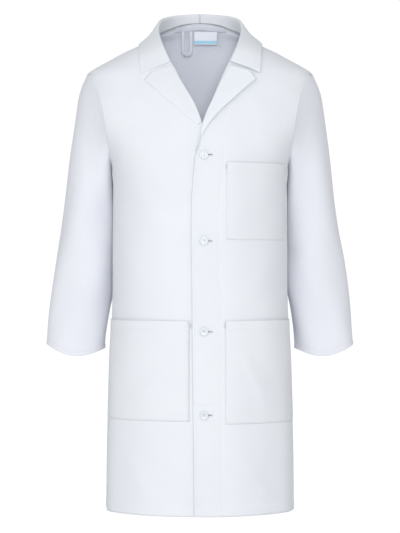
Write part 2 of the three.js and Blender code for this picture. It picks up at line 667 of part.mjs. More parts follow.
// ---------------------------------------------------------------- sleeves
// The sleeve's outer edge as steps from the shoulder point, its inner edge as steps from the
// underarm point (x, z), its half depth, and how far back it hangs, from the armhole to the cuff.
const SLEEVE_SECTIONS = [
  { outer: [1.5, -1], inner: [1.8, -1], depth: 60, back: 0 },
  { outer: [12, -20], inner: [3, -19], depth: 64, back: 12 },
  { outer: [20, -45], inner: [3, -41], depth: 67, back: 22 },
  { outer: [30, -107], inner: [2.5, -77], depth: 68, back: 36 },
  { outer: [41, -176], inner: [2, -119], depth: 68, back: 45 },
  { outer: [52, -265], inner: [2, -169], depth: 66, back: 48 },
  { outer: [61, -332], inner: [2, -213], depth: 63, back: 48 },
  { outer: [70, -392], inner: [3, -255], depth: 59, back: 46 },
  { outer: [79, -467], inner: [9.5, -301], depth: 54, back: 43 },
  { outer: [86, -537], inner: [15, -357], depth: 49, back: 40 },
  { outer: [90, -571], inner: [17, -387], depth: 46, back: 38 },
].map(({ outer, inner, depth, back }) => ({
  outer: [SHOULDER_X + outer[0], SHOULDER_Z + outer[1]],
  inner: [UNDERARM_X + inner[0], UNDERARM_Z + inner[1]],
  depth,
  back,
}));
const SLEEVE_SIDES = 24;

// One closed tube: the outer skin down, then the inner skin back up.
function sleeve() {
  const rings = [];
  for (const face of [1, 0]) {
    const order = face ? SLEEVE_SECTIONS.map((_, i) => i) : SLEEVE_SECTIONS.map((_, i) => i).reverse();
    for (const i of order) rings.push(sleeveRing(i, face ? 0 : CLOTH));
  }
  const position = rings.flat(2);
  const index = [];
  const turn = rings.length;
  for (let r = 0; r < turn; r += 1) {
    for (let k = 0; k < SLEEVE_SIDES; k += 1) {
      const next = (k + 1) % SLEEVE_SIDES;
      const below = ((r + 1) % turn) * SLEEVE_SIDES;
      const a = r * SLEEVE_SIDES + k;
      const b = r * SLEEVE_SIDES + next;
      index.push(a, below + k, below + next, a, below + next, b);
    }
  }
  return facingOut(position, index);
}

function sleeveRing(i, inset) {
  const { outer, inner, depth, back } = SLEEVE_SECTIONS[i];
  const length = Math.hypot(outer[0] - inner[0], outer[1] - inner[1]);
  const share = 0.5 - inset / length;
  const middle = [(outer[0] + inner[0]) / 2, (outer[1] + inner[1]) / 2];
  const reach = [(outer[0] - inner[0]) * share, (outer[1] - inner[1]) * share];
  const last = SLEEVE_SECTIONS.length - 1;
  const drop = CUFF_DROP * smooth(i, last - 3, last);
  const power = 2 / SLEEVE_ROUNDNESS;
  return Array.from({ length: SLEEVE_SIDES }, (_, k) => {
    const angle = (k / SLEEVE_SIDES) * 2 * Math.PI;
    const c = Math.sign(Math.cos(angle)) * Math.abs(Math.cos(angle)) ** power;
    const s = Math.sign(Math.sin(angle)) * Math.abs(Math.sin(angle)) ** power;
    return [
      middle[0] + reach[0] * c,
      back + (depth - inset) * s,
      middle[1] + reach[1] * c - drop * (1 - c * c) ** 1.2,
    ];
  });
}

function addSleeves() {
  const left = sleeve();
  add('left_sleeve', left, TWILL);
  add('right_sleeve', mirrored(left), TWILL);
}

// ---------------------------------------------------------------- inside the neck
function addNeckPieces() {
  const half = LOOP.width / 2;
  const ring = (w, top, bottom) => {
    const shape = new THREE.Shape();
    shape.moveTo(-w, top);
    shape.lineTo(-w, bottom + w);
    shape.absarc(0, bottom + w, w, Math.PI, 2 * Math.PI, false);
    shape.lineTo(w, top);
    shape.closePath();
    return shape;
  };
  const loop = ring(half, 0, -LOOP.length);
  loop.holes.push(ring(half - LOOP.strand, -LOOP.strand / 2, -LOOP.length + LOOP.strand));
  const settings = { depth: LOOP.thickness, bevelEnabled: false, curveSegments: 8 };
  const tape = new THREE.ExtrudeGeometry(loop, settings);
  tape.rotateX(Math.PI / 2);
  tape.translate(LOOP.x, NECK_HANG_DEPTH, LOOP.top);
  add('hanger_loop', tape, TAPE);

  const label = new THREE.BoxGeometry(LABEL.width, LABEL.thickness, LABEL.height);
  label.translate(LABEL.x, NECK_HANG_DEPTH - LABEL.thickness / 2, LABEL.top - LABEL.height / 2);
  add('neck_label', label, LABEL_CLOTH);
}

addBack();
addFronts();
addLapels();
addCollar();
addPockets();
addBarTacks();
addButtons();
addButtonholes();
addSleeves();
addNeckPieces();

export default group;
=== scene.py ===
import math

import bmesh
import bpy
import numpy as np
from mathutils import Matrix, Vector


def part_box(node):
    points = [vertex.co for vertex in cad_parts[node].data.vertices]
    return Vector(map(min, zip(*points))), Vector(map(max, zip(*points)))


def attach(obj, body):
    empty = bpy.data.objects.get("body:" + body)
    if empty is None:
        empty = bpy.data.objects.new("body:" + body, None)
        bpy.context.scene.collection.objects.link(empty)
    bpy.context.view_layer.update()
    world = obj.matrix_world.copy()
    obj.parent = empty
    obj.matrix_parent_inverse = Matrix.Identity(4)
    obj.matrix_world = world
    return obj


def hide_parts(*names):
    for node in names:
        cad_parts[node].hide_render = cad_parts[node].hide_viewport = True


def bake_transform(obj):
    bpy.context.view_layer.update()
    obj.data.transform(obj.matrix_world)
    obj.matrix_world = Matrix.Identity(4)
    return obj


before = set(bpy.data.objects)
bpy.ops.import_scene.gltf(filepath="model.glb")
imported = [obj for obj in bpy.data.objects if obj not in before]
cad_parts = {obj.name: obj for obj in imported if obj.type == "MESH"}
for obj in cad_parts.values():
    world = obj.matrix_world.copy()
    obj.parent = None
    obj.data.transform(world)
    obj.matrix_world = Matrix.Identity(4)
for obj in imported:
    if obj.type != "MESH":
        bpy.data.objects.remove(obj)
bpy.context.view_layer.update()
MM = 0.001


def low(node):
    return np.array(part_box(node)[0]) / MM


def high(node):
    return np.array(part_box(node)[1]) / MM


def middle(node):
    return (low(node) + high(node)) / 2


# ------------------------------------------------------------------ camera
VIEW_DISTANCE = 4.0
VIEW_HEIGHT = 1.13
VIEW_CENTRE = (0.0, -0.524)
camera_data = bpy.data.cameras.new("camera")
camera = bpy.data.objects.new("camera", camera_data)
bpy.context.scene.collection.objects.link(camera)
camera.location = (VIEW_CENTRE[0], -VIEW_DISTANCE, VIEW_CENTRE[1])
camera.rotation_euler = (math.pi / 2, 0, 0)
camera_data.sensor_fit = "VERTICAL"
camera_data.sensor_height = 24
camera_data.lens = 24 * VIEW_DISTANCE / VIEW_HEIGHT
bpy.context.scene.camera = camera
bpy.context.scene.view_settings.view_transform = "Standard"

# ------------------------------------------------------------------ sizes
HEM_Z = low("back_left")[2]
HEM_HALF_WIDTH = 199.0
WAIST_HALF_WIDTH = 184.0
SHOULDER_X, SHOULDER_Z = 238.0, -118.0
UNDERARM_X, UNDERARM_Z = 186.0, -311.0
NECK_X, NECK_Z = 88.0, -34.0
HEM_FRONT_DEPTH, HEM_BACK_DEPTH = 166.0, 142.0
ROUNDNESS = 2.3
CLOTH = 0.8
BREAK_Z = -296.0
BAND_WIDTH = 57.0
RIGHT_EDGE_X = 32.0
FACING_WIDTH = 60.0
HEM_TURN = 22.0
LEFT_FRONT_LIFT = 4.7
LEFT_FACING_LIFT = 1.7
RIGHT_FACING_LIFT = -3.0
BUTTONS = [middle(f"button_{i}") for i in range(1, 5)]
SLIT_START = BUTTONS[0][0] - 1.5
SLIT_LENGTH = 17.0
SLIT_HALF_HEIGHT = 0.6
HEM_ROWS = [HEM_Z + HEM_TURN + step for step in (-2.0, 0.0, 2.0)]
TOP_Z = NECK_Z - 4
SEAM_STEP = 0.3                 # the fronts and the back stop this far from the side seam
ROLL_SET_IN = 1.5               # each front ends this far short of its lapel's roll


# ------------------------------------------------------------------ small maths
class Track:
    """A smooth curve through pairs of key and value, with rising keys."""

    def __init__(self, *pairs):
        self.k = np.array([p[0] for p in pairs], float)
        self.v = np.array([p[1] for p in pairs], float)
        before = np.maximum(np.arange(len(pairs)) - 1, 0)
        after = np.minimum(np.arange(len(pairs)) + 1, len(pairs) - 1)
        self.m = (self.v[after] - self.v[before]) / (self.k[after] - self.k[before])

    def __call__(self, key):
        key = np.clip(key, self.k[0], self.k[-1])
        i = np.clip(np.searchsorted(self.k, key, side="right") - 1, 0, len(self.k) - 2)
        h = self.k[i + 1] - self.k[i]
        t = (key - self.k[i]) / h
        rise = self.v[i] * (1 + 2 * t) * (1 - t) ** 2 + self.v[i + 1] * t * t * (3 - 2 * t)
        bend = self.m[i] * t * (1 - t) ** 2 + self.m[i + 1] * t * t * (t - 1)
        return rise + h * bend


def smooth(value, start, end):
    t = np.clip((np.asarray(value, float) - start) / (end - start), 0, 1)
    return t * t * (3 - 2 * t)


def mix(a, b, share):
    return a + (b - a) * share


def unit(v):
    return v / np.maximum(np.linalg.norm(v, axis=-1, keepdims=True), 1e-9)


def turned_to(side, points):
    """Points given for the wearer's left, or mirrored to the right where side is -1."""
    return points * np.array([side, 1, 1])


def distances(points):
    """How far along a line each of its points lies."""
    step = np.linalg.norm(np.diff(points, axis=0), axis=1)
    return np.concatenate([[0], np.cumsum(step)])


def along_line(at, key, values):
    """Values read by straight steps between the given ones, axis by axis."""
    return np.stack([np.interp(at, key, values[:, k]) for k in range(values.shape[1])], -1)


def ridge(x, z, start, end, width, height):
    """A soft crease along a line on the front, fading out at both ends."""
    dx, dz = end[0] - start[0], end[1] - start[1]
    length = math.hypot(dx, dz)
    along = ((x - start[0]) * dx + (z - start[1]) * dz) / length**2
    off = ((x - start[0]) * dz - (z - start[1]) * dx) / length
    fade = smooth(along, -0.15, 0.3) * (1 - smooth(along, 0.7, 1.15))
    return height * fade * np.exp(-((off / width) ** 2))


def curve_through(points, count):
    """Points spaced along a smooth curve through the given ones."""
    p = np.array(points, float)
    key = distances(p)
    tracks = [Track(*zip(key, p[:, axis])) for axis in range(p.shape[1])]
    at = np.linspace(0, key[-1], count)
    return np.stack([t(at) for t in tracks], -1)


def broken(points, count):
    """Points spaced evenly along straight lines between the given ones."""
    p = np.array(points, float)
    key = distances(p)
    return along_line(np.linspace(0, key[-1], count), key, p)


# ------------------------------------------------------------------ the body of the coat
def skirt(share):
    return mix(UNDERARM_Z, HEM_Z, share)


def armhole(share):
    return mix(UNDERARM_Z, SHOULDER_Z, share)


def shoulder(share):
    return mix(SHOULDER_Z, NECK_Z, share)


half_width = Track(
    (skirt(1), HEM_HALF_WIDTH), (skirt(0.79), HEM_HALF_WIDTH - 2),
    (skirt(0.585), WAIST_HALF_WIDTH + 8), (skirt(0.393), WAIST_HALF_WIDTH + 1),
    (skirt(0.262), WAIST_HALF_WIDTH), (skirt(0.123), WAIST_HALF_WIDTH - 1),
    (UNDERARM_Z, UNDERARM_X), (armhole(0.228), UNDERARM_X + 22), (armhole(0.42), SHOULDER_X - 4),
    (armhole(0.627), SHOULDER_X + 8), (armhole(0.834), SHOULDER_X + 4), (SHOULDER_Z, SHOULDER_X),
    (shoulder(0.18), SHOULDER_X - 22), (shoulder(0.38), SHOULDER_X - 53),
    (shoulder(0.536), SHOULDER_X - 77), (shoulder(0.762), NECK_X + 32), (NECK_Z, NECK_X),
    (-15, NECK_X - 11), (0, NECK_X - 20), (6, NECK_X - 22),
)
front_depth = Track(
    (skirt(1), HEM_FRONT_DEPTH), (skirt(0.788), HEM_FRONT_DEPTH - 6),
    (skirt(0.585), HEM_FRONT_DEPTH - 11), (skirt(0.38), HEM_FRONT_DEPTH - 14),
    (skirt(0.123), HEM_FRONT_DEPTH - 16), (armhole(0.057), 144), (armhole(0.42), 134),
    (armhole(0.762), 118), (SHOULDER_Z - 1, 102), (shoulder(0.536), 84), (NECK_Z, 62), (6, 44),
)
back_depth = Track(
    (skirt(1), HEM_BACK_DEPTH), (skirt(0.677), HEM_BACK_DEPTH - 12),
    (skirt(0.428), HEM_BACK_DEPTH - 24), (skirt(0.262), HEM_BACK_DEPTH - 28),
    (skirt(0.123), HEM_BACK_DEPTH - 22), (armhole(0.057), 124), (armhole(0.627), 118),
    (SHOULDER_Z - 1, 108), (shoulder(0.536), 98), (NECK_Z, 88), (0, 73), (6, 71),
)


def fullness(x, y, z):
    """Below 1 inside the body of the coat, 1 on its surface."""
    depth = np.where(y < 0, front_depth(z), back_depth(z))
    return (np.abs(x) / half_width(z)) ** ROUNDNESS + (np.abs(y) / depth) ** ROUNDNESS


def body_normal(p):
    x, y, z = p[..., 0], p[..., 1], p[..., 2]
    e = 0.5
    return unit(np.stack([
        fullness(x + e, y, z) - fullness(x - e, y, z),
        fullness(x, y + e, z) - fullness(x, y - e, z),
        fullness(x, y, z + e) - fullness(x, y, z - e),
    ], -1))


def body(angle, z, lift=0.0):
    """The point at an angle from the front centre and a height, lifted off the surface."""
    angle, z = np.broadcast_arrays(np.asarray(angle, float), np.asarray(z, float))
    s, c = np.sin(angle), np.cos(angle)
    depth = np.where(c > 0, front_depth(z), back_depth(z))
    power = 2 / ROUNDNESS
    x = half_width(z) * np.sign(s) * np.abs(s) ** power
    y = -depth * np.sign(c) * np.abs(c) ** power
    p = np.stack([x, y, z], -1)
    return p + body_normal(p) * np.broadcast_to(lift, z.shape)[..., None]


def front_angle(x, z):
    share = np.minimum(np.abs(x) / half_width(z), 1)
    return np.sign(x) * np.arcsin(share ** (ROUNDNESS / 2))


def x_across(angle, z):
    """How far to the wearer's left a point on the front lies, from its angle and height."""
    return half_width(z) * np.sign(angle) * np.abs(np.sin(angle)) ** (2 / ROUNDNESS)


def on_front(x, z, lift=0.0):
    return body(front_angle(x, z), z, lift)


def armhole_x(z):
    """The armhole seam seen from the front: it swings in from the shoulder point."""
    v = np.clip((z - UNDERARM_Z) / (SHOULDER_Z - UNDERARM_Z), 0, 1)
    return mix(UNDERARM_X, SHOULDER_X, 0.5 * v + 0.5 * v**6)


def side_angle(z):
    seam = math.pi / 2 - (SEAM_STEP / front_depth(z)) ** (ROUNDNESS / 2)
    inside = (z > UNDERARM_Z) & (z < SHOULDER_Z)
    return np.where(inside, np.minimum(seam, front_angle(armhole_x(z), z)), seam)


def flutes(angle, z):
    """The skirt's soft flutes, which open out towards the hem and lie still at the front edge."""
    a = np.abs(angle)
    wave = np.sin(6.3 * a + 0.9) + 0.5 * np.sin(11.0 * a + 2.1 + 0.6 * np.sign(angle))
    reach = smooth(-z, 560, 1000) * (0.25 + 0.75 * smooth(a, 0.5, 1.4))
    upper = 0.8 * np.sin(4.0 * a + z / 90) * smooth(a, 0.3, 0.9) * smooth(-z, 260, 420)
    return 2.6 * wave * reach + upper * (1 - smooth(a, 1.45, 1.57) * 0.5)


# Each crease on the fronts has its start, end, width and height.
FRONT_CREASES = [
    ((-50, -700), (-125, -795), 9, 1.5), ((-84, -742), (-30, -822), 12, -1.0),
    ((80, -684), (142, -824), 10, 1.6), ((112, -700), (166, -788), 11, -1.1),
    ((84, -930), (150, -1010), 15, 1.6), ((-160, -900), (-96, -1010), 18, 1.4),
    ((-150, -335), (-60, -470), 20, 1.6), ((-166, -372), (-90, -560), 24, -1.4),
    ((166, -490), (86, -600), 20, 1.4), ((-196, -190), (-120, -150), 16, -1.3),
    ((196, -196), (124, -164), 16, -1.3), ((176, -300), (120, -236), 16, 1.3),
    ((-176, -300), (-112, -222), 18, 1.4),
]
# The puckers by the buttons, with their heights above the button: the lowest one's, then the others'.
LOWEST_PUCKERS = [
    ((-14, 17), (36, 20), 3.2, -1.5), ((-14, 25), (36, 27), 5, 1.2), ((-10, -18), (40, -15), 5, 0.8),
]
OTHER_PUCKERS = [((-16, 16), (34, 12), 8, -0.5), ((-12, -20), (40, -26), 9, 0.5)]


def front_creases(x, z):
    """The creases that the cloth of both fronts shows as it hangs."""
    return sum(ridge(x, z, *crease) for crease in FRONT_CREASES)


def band_creases(x, z):
    """The puckers across the buttonhole band, above and below each button."""
    total = 0
    for puckers, buttons in ((LOWEST_PUCKERS, BUTTONS[3:]), (OTHER_PUCKERS, BUTTONS[:3])):
        for button in buttons:
            for start, end, width, height in puckers:
                a, b = (start[0], start[1] + button[2]), (end[0], end[1] + button[2])
                total = total + ridge(x, z, a, b, width, height)
    return total


def front_lift(x, z):
    """How far both fronts stand off the smooth form, folds and all."""
    return flutes(front_angle(x, z), z) + front_creases(x, z)


def left_lift(x, z):
    across = 1 - smooth(x, BAND_WIDTH - 8, 120)
    up = 1 - smooth(z, -282, -160)
    return LEFT_FRONT_LIFT * across * up


# ------------------------------------------------------------------ outlines of the front
left_edge = Track((HEM_Z, -12), (-674, -16), (-592, -16.5), (-400, -18), (BREAK_Z, -10))
roll_line = Track(
    (BREAK_Z, -10), (-227, 5), (-202, 15), (-158, 33), (-119, 50), (-102, 58), (-75, 72),
    (-44, 83), (NECK_Z, 84),
)
under_roll_line = Track(
    (BREAK_Z, -26), (-227, -5), (-202, 5), (-158, 30), (-119, 48), (-102, 58), (-75, 72),
    (-44, 83), (NECK_Z, 84),
)


def left_inner_x(z):
    return np.where(z < BREAK_Z, left_edge(z), roll_line(z) + ROLL_SET_IN)


def band_stitching(z):
    return left_edge(z) + BAND_WIDTH


# ------------------------------------------------------------------ meshes
def link(name, mesh):
    obj = bpy.data.objects.new(name, mesh)
    bpy.context.scene.collection.objects.link(obj)
    return obj


def new_mesh(name, points, faces, smooth_faces, material, uv=None):
    mesh = bpy.data.meshes.new(name)
    mesh.from_pydata((np.asarray(points) * MM).tolist(), [], [list(f) for f in faces])
    mesh.polygons.foreach_set("use_smooth", np.asarray(smooth_faces, bool))
    if uv is not None:
        layer = mesh.uv_layers.new(name="cloth")
        corner = np.zeros(len(mesh.loops), np.int32)
        mesh.loops.foreach_get("vertex_index", corner)
        layer.data.foreach_set("uv", (np.asarray(uv)[corner] * MM).astype(np.float32).ravel())
    mesh.materials.append(material)
    mesh.validate()
    return link(name, mesh)


def arcs(points, axis):
    """Distance along each line of a grid from its first point."""
    step = np.linalg.norm(np.diff(points, axis=axis), axis=-1)
    shape = list(points.shape[:2])
    shape[axis] = 1
    return np.concatenate([np.zeros(shape), np.cumsum(step, axis=axis)], axis=axis)


def grid_normals(points, centre, wrap):
    """Normals of a grid of points, away from the given centres."""
    if wrap:
        across = np.roll(points, -1, 1) - np.roll(points, 1, 1)
    else:
        across = np.gradient(points, axis=1)
    up = np.gradient(points, axis=0)
    normal = unit(np.cross(across, up))
    away = np.sum((points - centre) * normal, -1)
    return normal if np.sum(away) > 0 else -normal


def shell(name, points, material, thickness=CLOTH, centre=None, wrap=False, keep=None):
    """A closed sheet of cloth from a grid of points on its outer face."""
    rows, columns = points.shape[:2]
    if centre is None:
        centre = points * np.array([0, 0, 1.0])
    normal = grid_normals(points, centre, wrap)
    inner = points - normal * thickness
    ids = np.arange(rows * columns).reshape(rows, columns)
    right = np.roll(ids, -1, 1) if wrap else ids[:, 1:]
    left = ids if wrap else ids[:, :-1]
    quads = np.stack([left[:-1], right[:-1], right[1:], left[1:]], -1).reshape(-1, 4)
    if keep is not None:
        quads = quads[keep.reshape(-1)]
    a, b, c = (points.reshape(-1, 3)[quads[:, k]] for k in (0, 1, 2))
    facing = np.sum(np.cross(b - a, c - a) * normal.reshape(-1, 3)[quads[:, 0]])
    if facing < 0:
        quads = quads[:, ::-1]
    edges = {}
    for q in quads.tolist():
        for k in range(4):
            edges[(q[k], q[(k + 1) % 4])] = True
    total = rows * columns
    rim = [(b, a, a + total, b + total) for a, b in edges if (b, a) not in edges]
    faces = quads.tolist() + (quads[:, ::-1] + total).tolist() + rim
    flags = [True] * (2 * len(quads)) + [False] * len(rim)
    uv = np.stack([arcs(points, 1), arcs(points, 0)], -1).reshape(-1, 2)
    both = np.concatenate([points.reshape(-1, 3), inner.reshape(-1, 3)])
    obj = new_mesh(name, both, faces, flags, material, np.concatenate([uv, uv]))
    outside = np.linalg.norm(np.cross(b - a, c - a), axis=-1)
    flat = (float(arcs(points, 1)[:, -1].max()), float(arcs(points, 0)[-1].max()))
    if wrap:
        girth = np.linalg.norm(np.roll(points, -1, 1) - points, axis=-1).sum(1)
        flat = (float(girth.max()), flat[1])
    area = float(outside.sum()) * MM * MM
    obj["cut"] = [flat[0] * MM, flat[1] * MM, area]
    return obj


def stitch_row(name, paths, spacing=3.4, length=2.5, width=0.5, height=0.22):
    """Rows of sewn stitches. Each path is a pair of points and normals along a seam."""
    corner, faces = [], []
    tri = [(0, 2, 4), (2, 1, 4), (1, 3, 4), (3, 0, 4), (2, 0, 5), (1, 2, 5), (3, 1, 5), (0, 3, 5)]
    for points, normals in paths:
        key = distances(points)
        count = max(int(key[-1] / spacing), 1)
        at = (np.arange(count) + 0.5) * key[-1] / count
        place = along_line(at, key, points)
        up = unit(along_line(at, key, normals))
        along = unit(along_line(at + 0.5, key, points) - along_line(at - 0.5, key, points))
        side = unit(np.cross(up, along))
        for p, d, s, u in zip(place, along, side, up):
            base = len(corner)
            corner += [
                p - d * length / 2, p + d * length / 2, p + s * width / 2, p - s * width / 2,
                p + u * height, p - u * height,
            ]
            faces += [(base + i, base + j, base + k) for i, j, k in tri]
    return new_mesh(name, corner, faces, [True] * len(faces), THREAD)


def surface_path(place, xs, zs, proud=0.15):
    """A seam's points and normals on a surface given as place(x, z)."""
    points = place(xs, zs)
    normals = body_normal(points)
    return points + normals * proud, normals


# ------------------------------------------------------------------ materials
def new_material(name):
    """A material with its tree and shader."""
    material = bpy.data.materials.new(name)
    material.use_nodes = True
    return material, material.node_tree, material.node_tree.nodes["Principled BSDF"]


def add_node(tree, kind, values=None, **settings):
    """A shader node with its settings, the values of its inputs, and nothing linked yet."""
    made = tree.nodes.new("ShaderNode" + kind)
    for key, value in settings.items():
        setattr(made, key, value)
    for key, value in (values or {}).items():
        made.inputs[key].default_value = value
    return made


def tint(tree, factor, colour, shade):
    """A colour that shifts towards a shade of it by the given factor."""
    values = {"A": (*colour, 1), "B": (*shade, 1)}
    mixed = add_node(tree, "Mix", values, data_type="RGBA")
    tree.links.new(factor, mixed.inputs["Factor"])
    return mixed.outputs["Result"]


def remap(tree, value, limits, **settings):
    """A value mapped from one range to another."""
    mapped = add_node(tree, "MapRange", limits, **settings)
    tree.links.new(value, mapped.inputs["Value"])
    return mapped.outputs["Result"]


def bump_from(tree, height, strength, distance, below=None):
    """Small relief from a height, on top of any relief below it."""
    made = add_node(tree, "Bump", {"Strength": strength, "Distance": distance})
    tree.links.new(height, made.inputs["Height"])
    if below is not None:
        tree.links.new(below, made.inputs["Normal"])
    return made.outputs["Normal"]


def fabric(name, colour, shade, weave=900.0, bump=0.12, rough=0.88, band=None, thin=0.2):
    """A woven cloth: diagonal twill ribs, slight slubs, and a little unevenness of colour.
    thin is the share of light that it scatters through, and band a stripe of another colour."""
    material, tree, shader = new_material(name)
    join = tree.links.new
    shader.inputs["Sheen Weight"].default_value = 0.25
    shader.inputs["Sheen Roughness"].default_value = 0.55
    shader.inputs["Specular IOR Level"].default_value = 0.25
    through = add_node(tree, "BsdfTranslucent", {"Color": (*colour, 1)})
    both = add_node(tree, "MixShader", {"Fac": thin})
    join(shader.outputs["BSDF"], both.inputs[1])
    join(through.outputs["BSDF"], both.inputs[2])
    join(both.outputs["Shader"], tree.nodes["Material Output"].inputs["Surface"])
    place = add_node(tree, "TexCoord").outputs
    ribs = {"Scale": weave / 6.283, "Distortion": 1.2, "Detail": 1.0}
    twill = add_node(tree, "TexWave", ribs, wave_type="BANDS", bands_direction="DIAGONAL")
    join(place["UV"], twill.inputs["Vector"])
    slub = add_node(tree, "TexNoise", {"Scale": 320, "Detail": 3})
    join(place["UV"], slub.inputs["Vector"])
    cloud = add_node(tree, "TexNoise", {"Scale": 9, "Detail": 4, "Roughness": 0.55})
    join(place["Object"], cloud.inputs["Vector"])
    uneven = remap(tree, cloud.outputs["Fac"], {"From Min": 0.35, "From Max": 0.72})
    woven = add_node(tree, "Mix", {"Factor": 0.05}, data_type="RGBA", blend_type="MULTIPLY")
    join(tint(tree, uneven, colour, shade), woven.inputs["A"])
    join(twill.outputs["Color"], woven.inputs["B"])
    result = woven.outputs["Result"]
    if band is not None:
        result = colour_band(tree, place["UV"], result, *band)
    join(result, shader.inputs["Base Color"])
    limits = {"To Min": rough - 0.07, "To Max": min(rough + 0.08, 1.0)}
    join(remap(tree, slub.outputs["Fac"], limits), shader.inputs["Roughness"])
    relief = bump_from(tree, twill.outputs["Fac"], bump, 0.0003)
    relief = bump_from(tree, cloud.outputs["Fac"], 0.25, 0.0012, relief)
    join(relief, shader.inputs["Normal"])
    return material


def colour_band(tree, uv, base, start, end, colour):
    """A plain woven band of another colour between two heights of the cloth."""
    split = add_node(tree, "SeparateXYZ")
    tree.links.new(uv, split.inputs["Vector"])
    both = add_node(tree, "Math", operation="MULTIPLY")
    limits = (("GREATER_THAN", start), ("LESS_THAN", end))
    for slot, (operation, height) in enumerate(limits):
        edge = add_node(tree, "Math", operation=operation)
        edge.inputs[1].default_value = height * MM
        tree.links.new(split.outputs["Y"], edge.inputs[0])
        tree.links.new(edge.outputs["Value"], both.inputs[slot])
    choose = add_node(tree, "Mix", {"B": (*colour, 1)}, data_type="RGBA")
    tree.links.new(both.outputs["Value"], choose.inputs["Factor"])
    tree.links.new(base, choose.inputs["A"])
    return choose.outputs["Result"]


def resin(name, colour, shade):
    """Cast button resin: slightly pearly, with fine scratches on its gloss."""
    material, tree, shader = new_material(name)
    shader.inputs["Coat Weight"].default_value = 0.3
    shader.inputs["Coat Roughness"].default_value = 0.15
    place = add_node(tree, "TexCoord").outputs["Object"]
    swirl = add_node(tree, "TexNoise", {"Scale": 160, "Distortion": 1.5})
    scratch = add_node(tree, "TexNoise", {"Scale": 900})
    for pattern in (swirl, scratch):
        tree.links.new(place, pattern.inputs["Vector"])
    looks = {
        "Base Color": tint(tree, swirl.outputs["Fac"], colour, shade),
        "Roughness": remap(tree, scratch.outputs["Fac"], {"To Min": 0.25, "To Max": 0.42}),
        "Normal": bump_from(tree, scratch.outputs["Fac"], 0.08, 0.0002),
    }
    for slot, output in looks.items():
        tree.links.new(output, shader.inputs[slot])
    return material


TWILL = fabric("twill", (0.80, 0.825, 0.86), (0.775, 0.80, 0.84))
# A lighter, bluer copy of the twill: a painted highlight, standing in for the light on the front's
# band. It dresses the left lapel.
PAINTED_HIGHLIGHT_TWILL = fabric("painted_highlight_twill", (0.80, 0.835, 0.88), (0.78, 0.815, 0.86))
SLEEVE_TWILL = fabric("sleeve_twill", (0.80, 0.815, 0.865), (0.775, 0.79, 0.845))
# A lighter copy of the twill for the facings: painted light, brightening cloth that lies in shade
# inside the coat. Its larger share of light scattered through is real translucency.
PAINTED_LIGHT_INSIDE_TWILL = fabric("painted_light_inside_twill", (0.84, 0.865, 0.93), (0.82, 0.845, 0.915), thin=0.45)
# A lighter copy of the twill for the back: partly painted light, brightening the inside of the neck
# where shade falls, and partly real translucency that lets the room's light through.
PAINTED_LIGHT_BACK_TWILL = fabric("painted_light_back_twill", (0.82, 0.845, 0.90), (0.80, 0.825, 0.885), thin=0.35)
THREAD = fabric("thread", (0.80, 0.82, 0.87), (0.74, 0.77, 0.83), weave=4000, bump=0.3, rough=0.7)
TAPE = fabric("tape", (0.66, 0.69, 0.77), (0.62, 0.65, 0.74), weave=1800, bump=0.2, thin=0.1)
NECK_TAPE = fabric("neck_tape", (0.82, 0.845, 0.91), (0.79, 0.82, 0.885), weave=1800, thin=0.3)
LABEL = fabric(
    "label", (0.82, 0.85, 0.92), (0.79, 0.82, 0.90), weave=3000, bump=0.05, rough=0.6,
    band=(2.0, 8.5, (0.36, 0.66, 0.82)),
)
BUTTON = resin("button", (0.62, 0.65, 0.69), (0.55, 0.59, 0.635))

# ------------------------------------------------------------------ how pieces follow the frame or stay baked in place
# In metres: where a front's bend would start and how far it would run, the way along a sleeve, and
# how far out along that way a sleeve's bend would lie. No bend is made from them.
FRONT_FOLD = np.array([0.190, -0.030, -0.310])
FRONT_WAY = np.array([-0.764, -0.590, -0.261]) * 0.19
SLEEVE_WAY = np.array([0.9655, 0.0, -0.2601])
SLEEVE_BEND = (0.2605, 0.32)


def follow(obj, body_name, side=0):
    """Makes a piece ride a body where side is 0. Where side is 1 or -1, for a piece on the wearer's
    left or right, it works out where a bend between the torso and a front or sleeve would start and
    end, but makes no bend and only bakes the piece's place into its mesh."""
    if side == 0:
        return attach(obj, body_name)
    if body_name.endswith("sleeve"):
        start, end = SLEEVE_WAY * SLEEVE_BEND[0], SLEEVE_WAY * SLEEVE_BEND[1]
    else:
        start, end = FRONT_FOLD, FRONT_FOLD + FRONT_WAY
    start, end = turned_to(side, start), turned_to(side, end)
    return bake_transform(obj)


# ------------------------------------------------------------------ fronts
def row_heights(extra):
    """Even rows of points up the coat, with rows at the extra heights in place of near ones."""
    rows = list(np.arange(HEM_Z, TOP_Z, 5.0)) + [TOP_Z]
    for z in extra:
        rows = [r for r in rows if abs(r - z) > 1.2] + [z]
    return np.array(sorted(rows))


FRONT_COLUMNS = 52              # from the band to the side seam


def front_grid(inner, band, lift, extra, band_steps):
    """Angles, heights, places across, offsets from the edge and lifts of a front. inner gives its
    edge, and band_steps the fine columns beside it."""
    z = row_heights(extra)[:, None]
    seam = side_angle(z)
    edge_x = inner(z)
    reach = np.minimum(1, (half_width(z) - edge_x) / (band + 90))
    offset = np.array(band_steps)[None, :] * reach
    near = front_angle(edge_x + offset, z)
    share = np.linspace(0, 1, FRONT_COLUMNS + 1)[None, 1:]
    share = 0.35 * share + 0.65 * np.sin(share * math.pi / 2)
    far = mix(near[:, -1:], seam, share)
    angle = np.concatenate([near, far], 1)
    zz = np.broadcast_to(z, angle.shape)
    x = x_across(angle, zz)
    return angle, zz, x, np.concatenate([offset, np.full(far.shape, 999.0)], 1), lift(x, zz)


def seam_groove(offset, place, depth=0.45, width=1.6):
    return -depth * np.exp(-(((offset - place) / width) ** 2))


